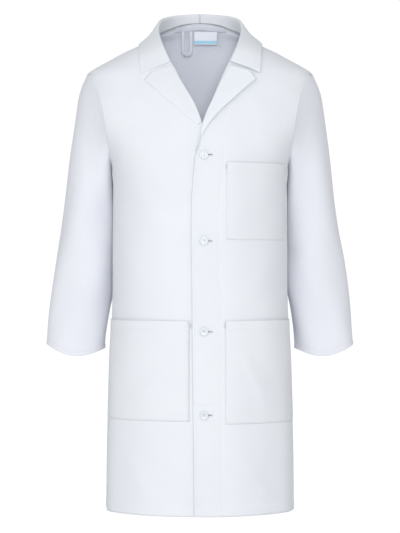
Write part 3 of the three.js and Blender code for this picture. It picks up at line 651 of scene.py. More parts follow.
def hem_step(z):
    """The hem's turned-up cloth makes it a little fuller, with a line of stitches above."""
    line = HEM_Z + HEM_TURN
    return 0.5 * (1 - smooth(z, line - 1, line + 3)) - 0.5 * np.exp(-(((z - line) / 2.0) ** 2))


def left_surface(x, z):
    """Outer face of the left front."""
    return front_lift(x, z) + left_lift(x, z) + CLOTH + hem_step(z)


def left_place(x, z):
    return on_front(x, z, left_surface(x, z) + band_creases(x, z) * (x < BAND_WIDTH))


def right_surface(x, z):
    """Outer face of the right front."""
    return front_lift(x, z) + CLOTH + hem_step(z)


def right_place(x, z):
    return on_front(x, z, right_surface(x, z))


def surface_of(side):
    """The lift of the left front's outer face, or of the right one's where side is -1."""
    return left_surface if side > 0 else right_surface


def front_name(side):
    """The name of the left front, or of the right one where side is -1."""
    return "left_front" if side > 0 else "right_front"


def pressed_edge(offset, z):
    """Below the lapel, the ironed edge lies closer to the right front than the band does."""
    return 0.9 * (1 - smooth(offset, 0, 22)) * (1 - smooth(z, BREAK_Z - 70, BREAK_Z - 15))


def build_left_front():
    """The left front, with its buttonhole band and the slits in it."""
    steps = [0, 0.7, 1.6, 3, 5, *np.arange(7, 54, 2.0), 55.4, 56.3, 57, 57.7, 58.6, 60.5, 64]
    slit_rows = [b[2] + k for b in BUTTONS for k in (-SLIT_HALF_HEIGHT, SLIT_HALF_HEIGHT)]
    fine = [z for b in BUTTONS for z in (b[2] - 3, b[2] + 3)]
    fine += HEM_ROWS
    fine += [BUTTONS[3][2] + k for k in (14.0, 17.0, 20.0, 23.0, 28.0)]
    rows = slit_rows + fine
    angle, z, x, offset, lift = front_grid(left_inner_x, BAND_WIDTH, left_surface, rows, steps)
    edge = 2.6 * (1 - np.sqrt(1 - (1 - np.minimum(offset / 3.0, 1)) ** 2 * 0.98))
    below = 1 - smooth(z, BREAK_Z - 6, BREAK_Z + 25)
    lift = lift - pressed_edge(offset, z)
    lift = lift - edge * below + seam_groove(offset, BAND_WIDTH) * below
    lift = lift + band_creases(x, z) * (1 - smooth(x, 48, 62))
    points = body(angle, z, lift)
    right = offset[:-1, 1:]
    mid_x = (x[:-1, :-1] + x[1:, 1:]) / 2
    mid_z = (z[:-1, :-1] + z[1:, 1:]) / 2
    keep = np.ones(right.shape, bool)
    for b in BUTTONS:
        inside = (mid_x > SLIT_START) & (mid_x < SLIT_START + SLIT_LENGTH)
        keep &= ~(inside & (np.abs(mid_z - b[2]) < SLIT_HALF_HEIGHT) & (right < BAND_WIDTH))
    obj = shell("left_front", points, TWILL, keep=keep)
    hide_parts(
        "left_front_upper", "left_front_lower", "left_buttonhole_band", "left_interlining"
    )
    return follow(obj, "left_front", 1)


def build_right_front():
    """The right front, which lies under the left one."""
    steps = [0, 1, 2.5, 5, *np.arange(8, 61, 4.0)]

    def edge(z):
        share = smooth(z, BREAK_Z - 12, BREAK_Z + 30)
        return mix(-RIGHT_EDGE_X + 0 * z, under_roll_line(z) + ROLL_SET_IN, share)

    def lift_of(x, z):
        return right_surface(-x, z)

    angle, z, _, _, lift = front_grid(edge, FACING_WIDTH, lift_of, HEM_ROWS, steps)
    points = body(-angle, z, lift)
    obj = shell("right_front", points, TWILL)
    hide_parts("right_front_upper", "right_front_lower", "right_interlining")
    return follow(obj, "right_front", -1)


FACING_TOP = -283.0


def strip_points(edge_a, edge_b, lift):
    """A strip of cloth up the front between two edges."""
    z = np.linspace(HEM_Z + 1.0, FACING_TOP, 150)[:, None]
    share = np.linspace(0, 1, 14)[None, :]
    x = mix(edge_a(z), edge_b(z), share)
    zz = np.broadcast_to(z, x.shape)
    return on_front(x, zz, lift(x, zz))


def build_facings():
    left = strip_points(
        lambda z: left_edge(z) + 1.5, lambda z: band_stitching(z) - 0.6,
        lambda x, z: (front_lift(x, z) + LEFT_FACING_LIFT + CLOTH
                      - pressed_edge(x - left_edge(z), z)),
    )
    left_facing = shell("left_facing_cloth", left, PAINTED_LIGHT_INSIDE_TWILL)
    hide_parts("left_facing")
    follow(left_facing, "left_front", 1)
    right = strip_points(
        lambda z: RIGHT_EDGE_X - FACING_WIDTH + 0 * z, lambda z: RIGHT_EDGE_X - 1.5 + 0 * z,
        lambda x, z: front_lift(x, z) + RIGHT_FACING_LIFT + CLOTH + 1.4,
    )
    right_facing = shell("right_facing_cloth", right, PAINTED_LIGHT_INSIDE_TWILL)
    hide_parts("right_facing")
    follow(right_facing, "right_front", -1)
    return left_facing, right_facing


# ------------------------------------------------------------------ back
def back_neck(angle):
    share = (angle - math.pi / 2) / (math.pi / 2)
    return mix(NECK_Z, 0, smooth(share, 0, 1))


def back_points(side):
    levels = row_heights(HEM_ROWS)[:, None]
    share = np.linspace(0, 1, 64)[None, :]
    start = math.pi - side_angle(levels)
    angle = mix(start, math.pi, share)
    rise = np.maximum(0, (levels + 60) / (TOP_Z + 60))
    z = levels + rise * (back_neck(angle) - TOP_Z)
    lift = CLOTH + flutes(angle, z) * smooth(math.pi - angle, 0.02, 0.3) + hem_step(z)
    centre = -1.3 * np.exp(-(((math.pi - angle) / 0.02) ** 2)) * smooth(-z, 150, 260)
    return turned_to(side, body(angle, z, lift + centre))


def build_back():
    """Both back panels with the seam that joins them at the centre."""
    points = np.concatenate([back_points(1), back_points(-1)[:, -2::-1]], axis=1)
    # The back wears the lighter copy of the twill: painted light for the inside of the neck.
    obj = shell("back_cloth", points, PAINTED_LIGHT_BACK_TWILL)
    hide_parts("back_left", "back_right")
    return follow(obj, "torso")


NECK_TAPE_WIDTH = 10.0
NECK_TAPE_REACH = math.radians(42)  # round the neck each way from the back centre


def build_neck_tape():
    t = np.linspace(-1, 1, 60)[None, :]
    v = np.linspace(0, 1, 6)[:, None]
    hi = high("neck_tape")
    z = mix(hi[2] - NECK_TAPE_WIDTH, hi[2], v) - 7.0 * np.abs(t)
    angle = math.pi + t * NECK_TAPE_REACH
    points = body(angle, z, -1.1 + 0 * z)
    obj = shell("neck_tape_cloth", points, NECK_TAPE, thickness=0.6)
    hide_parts("neck_tape")
    return follow(obj, "torso")


# ------------------------------------------------------------------ lapels
NOTCH = (100.5, -121.0)
LAPEL_POINT = (115.5, -138.5)
GORGE_START = (61.0, -108.0)
COLLAR_POINT = (124.0, -125.0)


def lapel_points(roll, edge, base, start, stand_off, mirror, radius, swell_height):
    """The lapel from its soft roll at the neck's edge to its free edge, on the wearer's left, or
    mirrored to the right. base gives the front's lift, start the roll's lift off it, radius the
    roll's size, stand_off the free edge's lift and swell_height the fullness between."""
    turn = np.array([-90, -70, -45, -20, 0, 20, 45, 70, 90.0]) * math.pi / 180
    rows = []
    for a, b in zip(roll, edge):
        way = b - a
        size = np.linalg.norm(way)
        way = way / max(size, 1e-6)
        line = []
        for k in turn:
            offset = radius * (1 - math.cos(k)) * 0.9
            place = a + way * min(offset, size)
            line.append((place[0], place[1], start + radius + radius * math.sin(k)))
        for s in np.linspace(0, 1, 16)[1:]:
            reach = max(size - radius, 0.2)
            place = a + way * (radius + s * reach if size > radius + 1 else size * s)
            swell = swell_height * math.sin(math.pi * s) + stand_off * s**2.2
            line.append((place[0], place[1], start + 2 * radius + swell * smooth(size, 4, 30)))
        rows.append(line)
    grid = np.array(rows)
    x, z, rise = grid[..., 0], grid[..., 1], grid[..., 2]
    lift = base(x, z) + rise + front_creases(mirror * x, z)
    return turned_to(mirror, on_front(x, z, lift))


def lapel_edge(line):
    """A lapel's free edge: a curve up to its point, then straight across to the notch."""
    curve = curve_through([*line, LAPEL_POINT], 48)
    return np.concatenate([curve[:-1], broken([LAPEL_POINT, NOTCH], 13)])


def build_lapels():
    left_roll = curve_through([
        (-5.5, -284), (-1, -262), (5, -232), (14, -206), (25, -182), (36, -158), (49, -131),
        GORGE_START,
    ], 60)
    left_edge_line = lapel_edge([
        (-9, -292), (-2, -270), (13, -240), (40, -206), (66, -182), (92, -158),
    ])
    points = lapel_points(
        left_roll, left_edge_line, base=left_lift, start=1.0, stand_off=3.4, mirror=1,
        radius=2.0, swell_height=1.4,
    )
    # The left lapel wears the lighter copy of the twill: a painted highlight.
    left = shell("left_lapel", points, PAINTED_HIGHLIGHT_TWILL, thickness=1.8)
    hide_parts("left_lapel_under", "left_lapel_top")
    follow(left, "left_front", 1)
    right_roll = curve_through([
        (-3, -226), (4, -206), (15, -182), (28, -160), (40, -139), (50, -124), GORGE_START,
    ], 60)
    right_edge_line = lapel_edge([
        (2, -234), (16, -226), (34, -210), (52, -195), (74, -176), (94, -158),
    ])
    points = lapel_points(
        right_roll, right_edge_line, base=lambda x, z: 0 * x, start=0.8, stand_off=-0.6,
        mirror=-1, radius=0.6, swell_height=0.4,
    )
    right = shell("right_lapel", points, TWILL, thickness=0.6)
    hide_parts("right_lapel_under", "right_lapel_top")
    follow(right, "right_front", -1)
    return left, right


# ------------------------------------------------------------------ collar
def collar_lines(flat):
    """Lines of the collar's left half, from the back centre to its end: four from the seam over
    the fold, and its free edge. flat is 1 where its front lies close to the coat, and 0 where it
    stands off."""
    angle = np.radians([180, 152, 122, 92, 66])
    seam = body(angle, np.array([1, -4, -18, -30, -40.0]), 1.2)
    stand = np.array([[0, 72, 19], [38, 64, 16], [66, 42, 9], [82, 8, -4], [86, -24, -26.0]])
    crest = np.array([[0, 75, 21], [40, 67, 18], [70, 44, 11], [86.5, 8, -2], [90, -25, -25.0]])
    fall = np.array([[0, 79, 18], [42, 70, 15], [73, 46, 8], [90, 8, -6], [94, -28, -30.0]])
    seam_end = on_front(np.array([75, 62.0]), np.array([-66, -99.0]), 0.6)
    stand_end = on_front(np.array([75, 60.5]), np.array([-67, -100.0]), 3.0)
    crest_end = on_front(np.array([77, 61.5]), np.array([-67.5, -100.5]), 5.6 - 1.8 * flat)
    fall_end = on_front(np.array([82, 66.0]), np.array([-69, -103.0]), 7.2 - 3.4 * flat)
    edge = body(np.radians([180, 152, 122, 92]), np.array([-30, -34, -43, -51.0]), 3.4)
    edge_end = np.array([
        body(math.radians(73), -60.0, 7.0 - 3.0 * flat), on_front(126.0, -84.0, 7.0 - 4.2 * flat),
        on_front(COLLAR_POINT[0], COLLAR_POINT[1], 6.2 - 4.2 * flat),
    ])
    lines = [
        np.concatenate([seam, seam_end]), np.concatenate([stand, stand_end]),
        np.concatenate([crest, crest_end]), np.concatenate([fall, fall_end]),
    ]
    return lines, np.concatenate([edge, edge_end])


COLLAR_COLUMNS = 60


def collar_grid(flat):
    """The collar's left half from its seam up over the fold and down to its free edge."""
    lines, edge = collar_lines(flat)
    guides = [curve_through(line, COLLAR_COLUMNS) for line in lines]
    rim = curve_through(edge, COLLAR_COLUMNS)
    belly = []
    for share in (0.33, 0.66):
        point = mix(guides[-1], rim, share)
        swell = (2.2 - 1.4 * flat) * math.sin(math.pi * share)
        belly.append(point + unit(body_normal(point)) * swell)
    guides = guides + belly + [rim]
    columns = ([guide[k] for guide in guides] for k in range(COLLAR_COLUMNS))
    return np.stack([curve_through(column, 40) for column in columns], 0)


def build_collar():
    """Two halves that meet at the back centre: stand, fold and fall in one piece of cloth."""
    made = []
    for side, name, flat in ((1, "left", 0.0), (-1, "right", 1.0)):
        points = collar_grid(flat)
        still = collar_grid(0.0)
        share = smooth(np.linspace(0, 1, len(points)), 0.35, 0.7)[:, None, None]
        points = turned_to(side, mix(still, points, share))
        obj = shell("collar_" + name, points, TWILL, thickness=1.2)
        follow(obj, front_name(side), side)
        made.append(obj)
    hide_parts("collar_stand", "under_collar", "collar_interlining", "top_collar")
    return made


# ------------------------------------------------------------------ pockets
# Where the edges of the pockets lie across the fronts, and how far the two large ones end from the
# side seam.
CHEST_POCKET_X = (53.0, 175.0)
LEFT_POCKET_X = 50.0
RIGHT_POCKET_X = -21.0
POCKET_SIDE_GAP = 3.0
POCKET_HEM = 22.0


def pocket_grid(front, side, top, bottom, surface, full):
    """The outer face of a pocket between two edges and two heights, as full as given."""
    s = np.linspace(0, 1, 46)[None, :]
    t = np.linspace(0, 1, 60)[:, None]
    z = mix(bottom, top, t)
    angle = mix(front(z), side(z), s)
    zz = np.broadcast_to(z, angle.shape)
    x = x_across(angle, zz)
    near = np.minimum(np.minimum(s, 1 - s) * 130, t * (top - bottom))
    belly = np.sin(math.pi * s) ** 0.8 * smooth(t, 0.05, 0.75) * full
    turned = 0.15 * (1 - smooth(near, 5.5, 9))
    sewn = -0.2 * np.exp(-(((near - 2.2) / 1.3) ** 2)) - 0.6 * (1 - smooth(near, 0, 4))
    mouth = (1 - t) * (top - bottom)
    hem = 0.3 * (1 - smooth(mouth, POCKET_HEM - 1, POCKET_HEM + 4))
    hem = hem - 0.15 * np.exp(-(((mouth - POCKET_HEM) / 1.6) ** 2))
    hem = hem + 0.5 * (1 - smooth(mouth, 0, 5)) * np.sin(math.pi * s)
    lift = surface(x, zz) + CLOTH + 0.15 + belly + turned + sewn + hem
    return body(angle, zz, lift)


def build_pockets():
    """The three pockets, each with the points of its outer face and its side."""

    def at_x(x):
        return lambda z: front_angle(x + 0 * z, z)

    def at_side(side):
        def edge(z):
            return side * (math.pi / 2 - (POCKET_SIDE_GAP / front_depth(z)) ** (ROUNDNESS / 2))

        return edge

    plans = [
        ("chest_pocket", at_x(CHEST_POCKET_X[0]), at_x(CHEST_POCKET_X[1]), 1.6, 1),
        ("left_pocket", at_x(LEFT_POCKET_X), at_side(1), 3.6, 1),
        ("right_pocket", at_x(RIGHT_POCKET_X), at_side(-1), 3.6, -1),
    ]
    made = []
    for node, front, side_edge, full, side in plans:
        top, bottom = high(node)[2], low(node)[2]
        points = pocket_grid(front, side_edge, top, bottom, surface_of(side), full)
        obj = shell(node + "_cloth", points, TWILL)
        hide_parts(node)
        follow(obj, front_name(side), side)
        made.append((obj, points, side))
    return made


def pocket_seams(points):
    """Paths of the stitches that hold a pocket down and those across its mouth."""
    normal = body_normal(points)
    lifted = points + normal * 0.1
    last_row = len(points) - 1
    mouth = int(round(last_row * (1 - POCKET_HEM / np.ptp(points[:, 0, 2]))))
    seams = [np.s_[::-1, 1], np.s_[1, :], np.s_[:, -2], np.s_[mouth, :]]
    return [(lifted[seam], normal[seam]) for seam in seams]


EDGE_STITCH = 5.5               # from the left front's edge to the stitches along it


def hem_path(place, start, end, count):
    """The stitches across the hem of a front."""
    height = np.full(count, HEM_Z + HEM_TURN)
    return surface_path(place, np.linspace(start, end, count), height, proud=-0.2)


def build_stitching(pockets):
    """The rows of stitches on the fronts and their pockets, and on the back."""
    z = np.linspace(HEM_Z + 2, BREAK_Z + 4, 400)
    seams = {
        1: [
            surface_path(left_place, band_stitching(z), z, proud=-0.5),
            surface_path(left_place, left_edge(z) + EDGE_STITCH, z),
            hem_path(left_place, -9, 192, 200),
        ],
        -1: [hem_path(right_place, 28, -192, 220)],
    }
    for _, points, side in pockets:
        seams[side] += pocket_seams(points)
    fronts = []
    for side, paths in seams.items():
        rows = stitch_row(front_name(side) + "_stitches", paths)
        fronts.append(follow(rows, front_name(side), side))
    angle = np.linspace(math.pi / 2 + 0.01, math.pi - 0.01, 300)
    z = np.full(300, HEM_Z + HEM_TURN)
    hem = body(angle, z, CLOTH + flutes(angle, z) * smooth(math.pi - angle, 0.02, 0.3))
    centre = body(np.full(400, math.pi - 0.014), np.linspace(HEM_Z + 4, -8, 400), 0.4)
    lines = [turned_to(side, line) for side in (1, -1) for line in (hem, centre)]
    follow(stitch_row("back_stitches", [(line, body_normal(line)) for line in lines]), "torso")
    return fronts


def build_bar_tacks():
    """Close zigzag stitches at the ends of the pocket mouths."""
    for node, side in (
        ("chest_pocket_tack_front", 1), ("chest_pocket_tack_side", 1),
        ("left_pocket_tack", 1), ("right_pocket_tack", -1),
    ):
        lo, hi = low(node), high(node)
        x = (lo[0] + hi[0]) / 2
        paths = []
        for k in range(16):
            z = mix(lo[2], hi[2], (k + 0.5) / 16)
            xs = np.array([x - 1.3, x + 1.3])
            zs = np.array([z - 0.25, z + 0.25])
            points = on_front(xs, zs, surface_of(side)(xs, zs) + 2 * CLOTH + 1.4)
            paths.append((points, body_normal(points)))
        obj = stitch_row(node + "_stitches", paths, spacing=9, length=2.8, width=0.75)
        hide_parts(node)
        follow(obj, front_name(side), side)


# ------------------------------------------------------------------ buttons
BUTTON_RADIUS = 8.5
HOLE_RADIUS = 0.95
HOLE_OFFSET = 1.8               # of each hole from the button's middle, across and up
BUTTON_TURNS = (0, 8, -6, 12)   # in degrees, from the top button down


def button_mesh(name):
    """A four-hole button facing -Y, with a soft rim round a dished middle."""
    r = BUTTON_RADIUS
    profile = [
        (0, 0.0), (r - 1.6, 0.0), (r - 0.6, 0.25), (r, 1.1), (r - 0.05, 1.9), (r - 0.5, 2.55),
        (r - 1.3, 2.8), (r - 2.2, 2.65), (r - 3.0, 2.2), (r - 3.9, 1.95), (0, 1.9),
    ]
    bm = bmesh.new()
    ring = [bm.verts.new((a * MM, -h * MM, 0)) for a, h in profile]
    line = [bm.edges.new(pair) for pair in zip(ring, ring[1:])]
    bmesh.ops.spin(
        bm, geom=ring + line, cent=(0, 0, 0), axis=(0, 1, 0), angle=2 * math.pi, steps=56,
        use_merge=True,
    )
    bmesh.ops.remove_doubles(bm, verts=bm.verts, dist=1e-6)
    bmesh.ops.recalc_face_normals(bm, faces=bm.faces)
    mesh = bpy.data.meshes.new(name)
    bm.to_mesh(mesh)
    bm.free()
    obj = link(name, mesh)
    drill_mesh = bpy.data.meshes.new("drill")
    bm = bmesh.new()
    for i in (-1, 1):
        for j in (-1, 1):
            hole = bmesh.ops.create_cone(
                bm, cap_ends=True, segments=20, radius1=HOLE_RADIUS * MM,
                radius2=HOLE_RADIUS * MM, depth=0.01,
            )["verts"]
            turned = Matrix.Rotation(math.pi / 2, 3, "X")
            bmesh.ops.rotate(bm, verts=hole, cent=(0, 0, 0), matrix=turned)
            place = (i * HOLE_OFFSET * MM, 0, j * HOLE_OFFSET * MM)
            bmesh.ops.translate(bm, verts=hole, vec=place)
    bm.to_mesh(drill_mesh)
    bm.free()
    drill = link("drill", drill_mesh)
    cut = obj.modifiers.new("holes", "BOOLEAN")
    cut.object = drill
    cut.solver = "EXACT"
    shown = obj.evaluated_get(bpy.context.evaluated_depsgraph_get())
    finished = bpy.data.meshes.new_from_object(shown)
    obj.modifiers.clear()
    obj.data = finished
    bpy.data.objects.remove(drill)
    finished.polygons.foreach_set("use_smooth", [True] * len(finished.polygons))
    finished.set_sharp_from_angle(angle=math.radians(50))
    finished.materials.clear()
    finished.materials.append(BUTTON)
    return obj


def tube_along(name, paths, radius, material, sides=8):
    """Round strands along lines of points, with closed ends."""
    corner, faces = [], []
    for path in paths:
        p = np.array(path, float)
        along = unit(np.gradient(p, axis=0))
        helper = np.where(np.abs(along[:, 1:2]) > 0.8, [[1.0, 0, 0]], [[0, 1.0, 0]])
        a = unit(np.cross(along, helper))
        b = np.cross(along, a)
        base = len(corner)
        for k in range(len(p)):
            for j in range(sides):
                t = 2 * math.pi * j / sides
                corner.append(p[k] + radius * (a[k] * math.cos(t) + b[k] * math.sin(t)))
        for k in range(len(p) - 1):
            for j in range(sides):
                u, v = base + k * sides + j, base + k * sides + (j + 1) % sides
                faces.append((u, v, v + sides, u + sides))
        faces.append(tuple(base + j for j in reversed(range(sides))))
        last = base + (len(p) - 1) * sides
        faces.append(tuple(last + j for j in range(sides)))
    return new_mesh(name, corner, faces, [True] * len(faces), material)


def thread_strands(place, back_y, turn):
    """The crossed strands through a button's holes, and the shank behind it."""
    strands = []
    for k in (1, -1):
        for shift in (-0.28, 0.28):
            line = []
            for t in np.linspace(-1, 1, 11):
                x = HOLE_OFFSET * t * k + shift * k
                z = HOLE_OFFSET * t - shift
                rise = 2.6 - 1.4 * t**6
                turned_x = x * math.cos(turn) + z * math.sin(turn)
                turned_z = -x * math.sin(turn) + z * math.cos(turn)
                line.append((place[0] + turned_x, back_y - rise, place[2] + turned_z))
            strands.append(line)
    for j in range(5):
        t = 2 * math.pi * j / 5
        x, z = place[0] + 0.6 * math.cos(t), place[2] + 0.6 * math.sin(t)
        strands.append([(x, back_y + d, z) for d in np.linspace(0.1, 6.0, 6)])
    return strands


def build_buttons():
    """Each button and the thread that holds it."""
    for i, place in enumerate(BUTTONS):
        node = f"button_{i + 1}"
        back_y = high(node)[1]
        turn = math.radians(BUTTON_TURNS[i])
        obj = button_mesh(node + "_resin")
        spot = Vector((place[0] * MM, back_y * MM, place[2] * MM))
        obj.data.transform(Matrix.Translation(spot) @ Matrix.Rotation(turn, 4, "Y"))
        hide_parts(node)
        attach(obj, node)
        strands = thread_strands(place, back_y, turn)
        thread = tube_along(f"button_thread_{i + 1}_strands", strands, 0.3, THREAD)
        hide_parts(f"button_thread_{i + 1}")
        follow(thread, node)


def build_buttonholes():
    """Whipped stitches round each slit, packed side by side."""
    start, end = SLIT_START - 0.6, SLIT_START + SLIT_LENGTH + 0.6
    for i, button in enumerate(BUTTONS):
        paths = []
        for side in (1, -1):
            for x in mix(start, end, (np.arange(34) + 0.5) / 34):
                xs, zs = np.array([x, x + 0.12]), button[2] + side * np.array([0.35, 2.0])
                paths.append(surface_path(left_place, xs, zs, proud=0.25))
        for x in (start - 0.7, end + 0.7):
            for k in range(9):
                xs, zs = np.array([x - 0.9, x + 0.9]), button[2] + np.array([-2.1, -2.0]) + k * 0.5
                paths.append(surface_path(left_place, xs, zs, proud=0.25))
        obj = stitch_row(
            f"buttonhole_{i + 1}_stitches", paths, spacing=9, length=1.9, width=0.6,
            height=0.4,
        )
        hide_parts(f"buttonhole_{i + 1}")
        follow(obj, "left_front", 1)


# ------------------------------------------------------------------ sleeves
SECTION_STEPS = np.linspace(0, 1, 11)
OUTER_X = SHOULDER_X + np.array([1.5, 12, 20, 30, 41, 52, 61, 70, 79, 86, 90.0])
OUTER_Z = SHOULDER_Z + np.array([-1, -20, -45, -107, -176, -265, -332, -392, -467, -537, -571.0])
INNER_X = UNDERARM_X + np.array([1.8, 1, -1, -3, -5, -6, -6, -4, 5, 14, 17.0])
INNER_Z = UNDERARM_Z + np.array([-1, -19, -41, -77, -119, -169, -213, -255, -301, -357, -387.0])
HALF_DEPTH = np.array([60, 64, 67, 68, 68, 66, 63, 59, 54, 49, 46.0])
HANGS_BACK = np.array([0, 12, 22, 36, 45, 48, 48, 46, 43, 40, 38.0])
SLEEVE_ROUNDNESS = 2.2
CUFF_DROP = 20.0


def sleeve_points(side):
    """The outer face of a sleeve from its armhole to its cuff, and the line down its middle."""
    shape = (OUTER_X, OUTER_Z, INNER_X, INNER_Z, HALF_DEPTH, HANGS_BACK)
    tracks = [Track(*zip(SECTION_STEPS, v)) for v in shape]
    t = np.concatenate([
        np.linspace(0, 0.1, 14)[:-1], np.linspace(0.1, 0.955, 110)[:-1],
        np.linspace(0.955, 1, 10),
    ])[:, None]
    ox, oz, ix, iz, depth, back = (track(t) for track in tracks)
    theta = np.linspace(0, 2 * math.pi, 97)[None, :-1]
    power = 2 / SLEEVE_ROUNDNESS
    c = np.sign(np.cos(theta)) * np.abs(np.cos(theta)) ** power
    s = np.sign(np.sin(theta)) * np.abs(np.sin(theta)) ** power
    x = (ox + ix) / 2 + (ox - ix) / 2 * c
    z = (oz + iz) / 2 + (oz - iz) / 2 * c
    z = z - CUFF_DROP * smooth(t, 0.7, 1.0) * (1 - c * c) ** 1.2
    y = back + depth * s + 0 * c
    tube = np.stack(np.broadcast_arrays(x, y, z), -1)
    v = (np.cos(theta) + 1) / 2
    loop_z = mix(UNDERARM_Z, SHOULDER_Z, v)
    loop_x = armhole_x(loop_z)
    share = np.clip(1 - (loop_x / half_width(loop_z)) ** ROUNDNESS, 0, 1) ** (1 / ROUNDNESS)
    loop_y = np.where(np.sin(theta) < 0, -front_depth(loop_z), back_depth(loop_z)) * share
    loop = np.stack([loop_x, loop_y, loop_z], -1)
    head = smooth(t, 0, 0.22)[..., None]
    points = mix(loop, tube, head)
    middle_line = np.stack([(ox + ix) / 2, back, (oz + iz) / 2], -1)
    out = unit(points - middle_line)
    wave = 1.6 * np.sin(3 * theta + 9 * t + 0.7) + 1.1 * np.sin(5 * theta - 14 * t + 2.2 * (side < 0))
    folds = wave * smooth(t, 0.08, 0.35) * (1 - smooth(t, 0.86, 1.0) * 0.6)
    inner_side = smooth(-np.cos(theta), -0.3, 0.8)
    elbow = np.exp(-(((t - 0.56) / 0.10) ** 2)) * np.sin(46 * t + 2.0 * np.sin(theta)) * 1.5
    folds = folds + elbow * inner_side
    cap = 1.3 * np.exp(-((t / 0.022) ** 2)) * smooth(np.cos(theta), -0.8, 0.1)
    ease = 1.2 * np.exp(-(((t - 0.05) / 0.035) ** 2)) * smooth(np.cos(theta), -0.7, 0.3)
    line = -0.8 * np.exp(-(((t - 0.966) / 0.0035) ** 2)) + 0.5 * smooth(t, 0.966, 0.97)
    total = folds + cap + ease + line
    points = points + out * total[..., None] * np.array([1, 1, 0.6])
    return turned_to(side, points), turned_to(side, middle_line)


def build_sleeves():
    made = []
    for side, name in ((1, "left"), (-1, "right")):
        points, centre = sleeve_points(side)
        obj = shell(name + "_sleeve_cloth", points, SLEEVE_TWILL, centre=centre, wrap=True)
        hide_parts(name + "_sleeve")
        follow(obj, name + "_sleeve", side)
        row = int(np.argmin(np.abs(np.linspace(0, 1, len(points)) - 0.962)))
        ring = np.concatenate([points[row], points[row, :1]])
        out = unit(ring - centre[row])
        stitches = stitch_row(name + "_cuff_stitches", [(ring + out * 0.1, out)])
        follow(stitches, name + "_sleeve", side)
        made.append((obj, stitches))
    return made


# ------------------------------------------------------------------ inside the neck
def build_loop():
    """A folded tape: down one side, round the bottom and up again, sewn in at the top."""
    lo, hi = low("hanger_loop"), high("hanger_loop")
    x, y = (lo[0] + hi[0]) / 2, (lo[1] + hi[1]) / 2
    half = (hi[0] - lo[0]) / 2 - 3.5
    bottom = lo[2] + 3.5 + half
    line = [(x - half, y + 0.2, hi[2] - 0.2)]
    line += [(x - half, y, z) for z in np.linspace(hi[2] - 6, bottom, 10)]
    for k in np.linspace(0, math.pi, 17)[1:-1]:
        line.append((x - half * math.cos(k), y - 1.2 * math.sin(k), bottom - half * math.sin(k)))
    line += [(x + half, y, z) for z in np.linspace(bottom, hi[2] - 6, 10)]
    line.append((x + half, y + 0.2, hi[2] - 0.2))
    path = np.array(line)
    along = unit(np.gradient(path, axis=0))
    wide = unit(np.cross(along, np.array([0, 1.0, 0])))
    across = np.linspace(-3.3, 3.3, 9)
    crown = 0.5 * (1 - (across / 3.3) ** 2)
    points = path[:, None] + wide[:, None] * across[None, :, None]
    points = points - np.array([0, 1.0, 0]) * crown[None, :, None]
    centre = points + np.array([0, 10.0, 0])
    obj = shell("hanger_loop_tape", points, TAPE, thickness=0.7, centre=centre)
    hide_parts("hanger_loop")
    return follow(obj, "hanger_loop")


def build_label():
    lo, hi = low("neck_label"), high("neck_label")
    s = np.linspace(0, 1, 24)[None, :]
    t = np.linspace(0, 1, 16)[:, None]
    x = mix(lo[0], hi[0], s) + 0 * t
    z = mix(lo[2], hi[2], t) + 0 * s
    curl = -1.5 * (1 - t) ** 2 - 0.7 * np.sin(math.pi * s)
    y = hi[1] + curl + 0 * s
    points = np.stack([x, y, z], -1)
    obj = shell("neck_label_cloth", points, LABEL, thickness=0.5, centre=points + [0, 10.0, 0])
    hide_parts("neck_label")
    return follow(obj, "neck_label")


left_front = build_left_front()
right_front = build_right_front()
left_facing, right_facing = build_facings()
back = build_back()
build_neck_tape()
left_lapel, right_lapel = build_lapels()
collars = build_collar()
pockets = build_pockets()
left_rows, right_rows = build_stitching(pockets)
build_bar_tacks()
build_buttons()
build_buttonholes()
sleeves = build_sleeves()
build_loop()
neck_label = build_label()

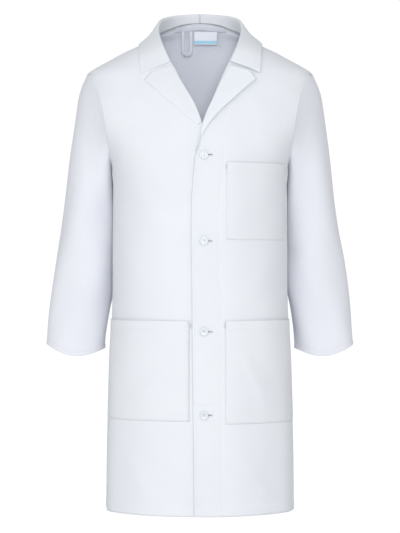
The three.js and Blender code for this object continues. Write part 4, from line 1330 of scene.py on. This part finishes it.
# ------------------------------------------------------------------ floor and light
FLOOR_Z = -1.56
FLOOR_HALF_SIZE = 3.2
ROOM_STRENGTH = {"To Min": 0.66, "To Max": 1.05}
KEY_POWER = 17
FRONT_POWER = 108


def build_floor():
    """A pale floor, far below the hem."""
    mesh = bpy.data.meshes.new("floor")
    bm = bmesh.new()
    bmesh.ops.create_grid(bm, x_segments=12, y_segments=12, size=FLOOR_HALF_SIZE)
    bm.to_mesh(mesh)
    bm.free()
    floor = link("floor", mesh)
    floor.location = (0, 0, FLOOR_Z)
    material, tree, shader = new_material("pale_floor")
    noise = add_node(tree, "TexNoise", {"Scale": 3})
    colour = tint(tree, noise.outputs["Fac"], (0.86, 0.86, 0.86), (0.83, 0.83, 0.835))
    tree.links.new(colour, shader.inputs["Base Color"])
    shader.inputs["Roughness"].default_value = 0.8
    mesh.materials.append(material)


def area_light(name, place, target, size, power):
    """A round lamp that points at a target."""
    data = bpy.data.lights.new(name, "AREA")
    data.shape = "DISK"
    data.size = size
    data.energy = power
    lamp = bpy.data.objects.new(name, data)
    bpy.context.scene.collection.objects.link(lamp)
    lamp.location = place
    lamp.rotation_euler = (Vector(target) - Vector(place)).to_track_quat("-Z", "Y").to_euler()


def build_light():
    """A pale room that is brightest behind the coat, a soft light from the coat's right, and a
    stronger one straight in front of it."""
    world = bpy.data.worlds.new("studio")
    bpy.context.scene.world = world
    world.use_nodes = True
    tree = world.node_tree
    sky = tree.nodes["Background"]
    place = add_node(tree, "TexCoord")
    split = add_node(tree, "SeparateXYZ")
    tree.links.new(place.outputs["Generated"], split.inputs["Vector"])
    limits = {"From Min": 0.82, "From Max": 0.95, **ROOM_STRENGTH}
    strength = remap(tree, split.outputs["Y"], limits, interpolation_type="SMOOTHSTEP")
    tree.links.new(strength, sky.inputs["Strength"])
    sky.inputs["Color"].default_value = (0.985, 0.99, 1.0, 1)
    area_light("key", (-2.0, -3.0, 0.8), (0, 0, -0.6), 2.0, KEY_POWER)
    area_light("front", (0.1, -4.6, -0.1), (0, 0, -0.5), 1.2, FRONT_POWER)


build_floor()
build_light()
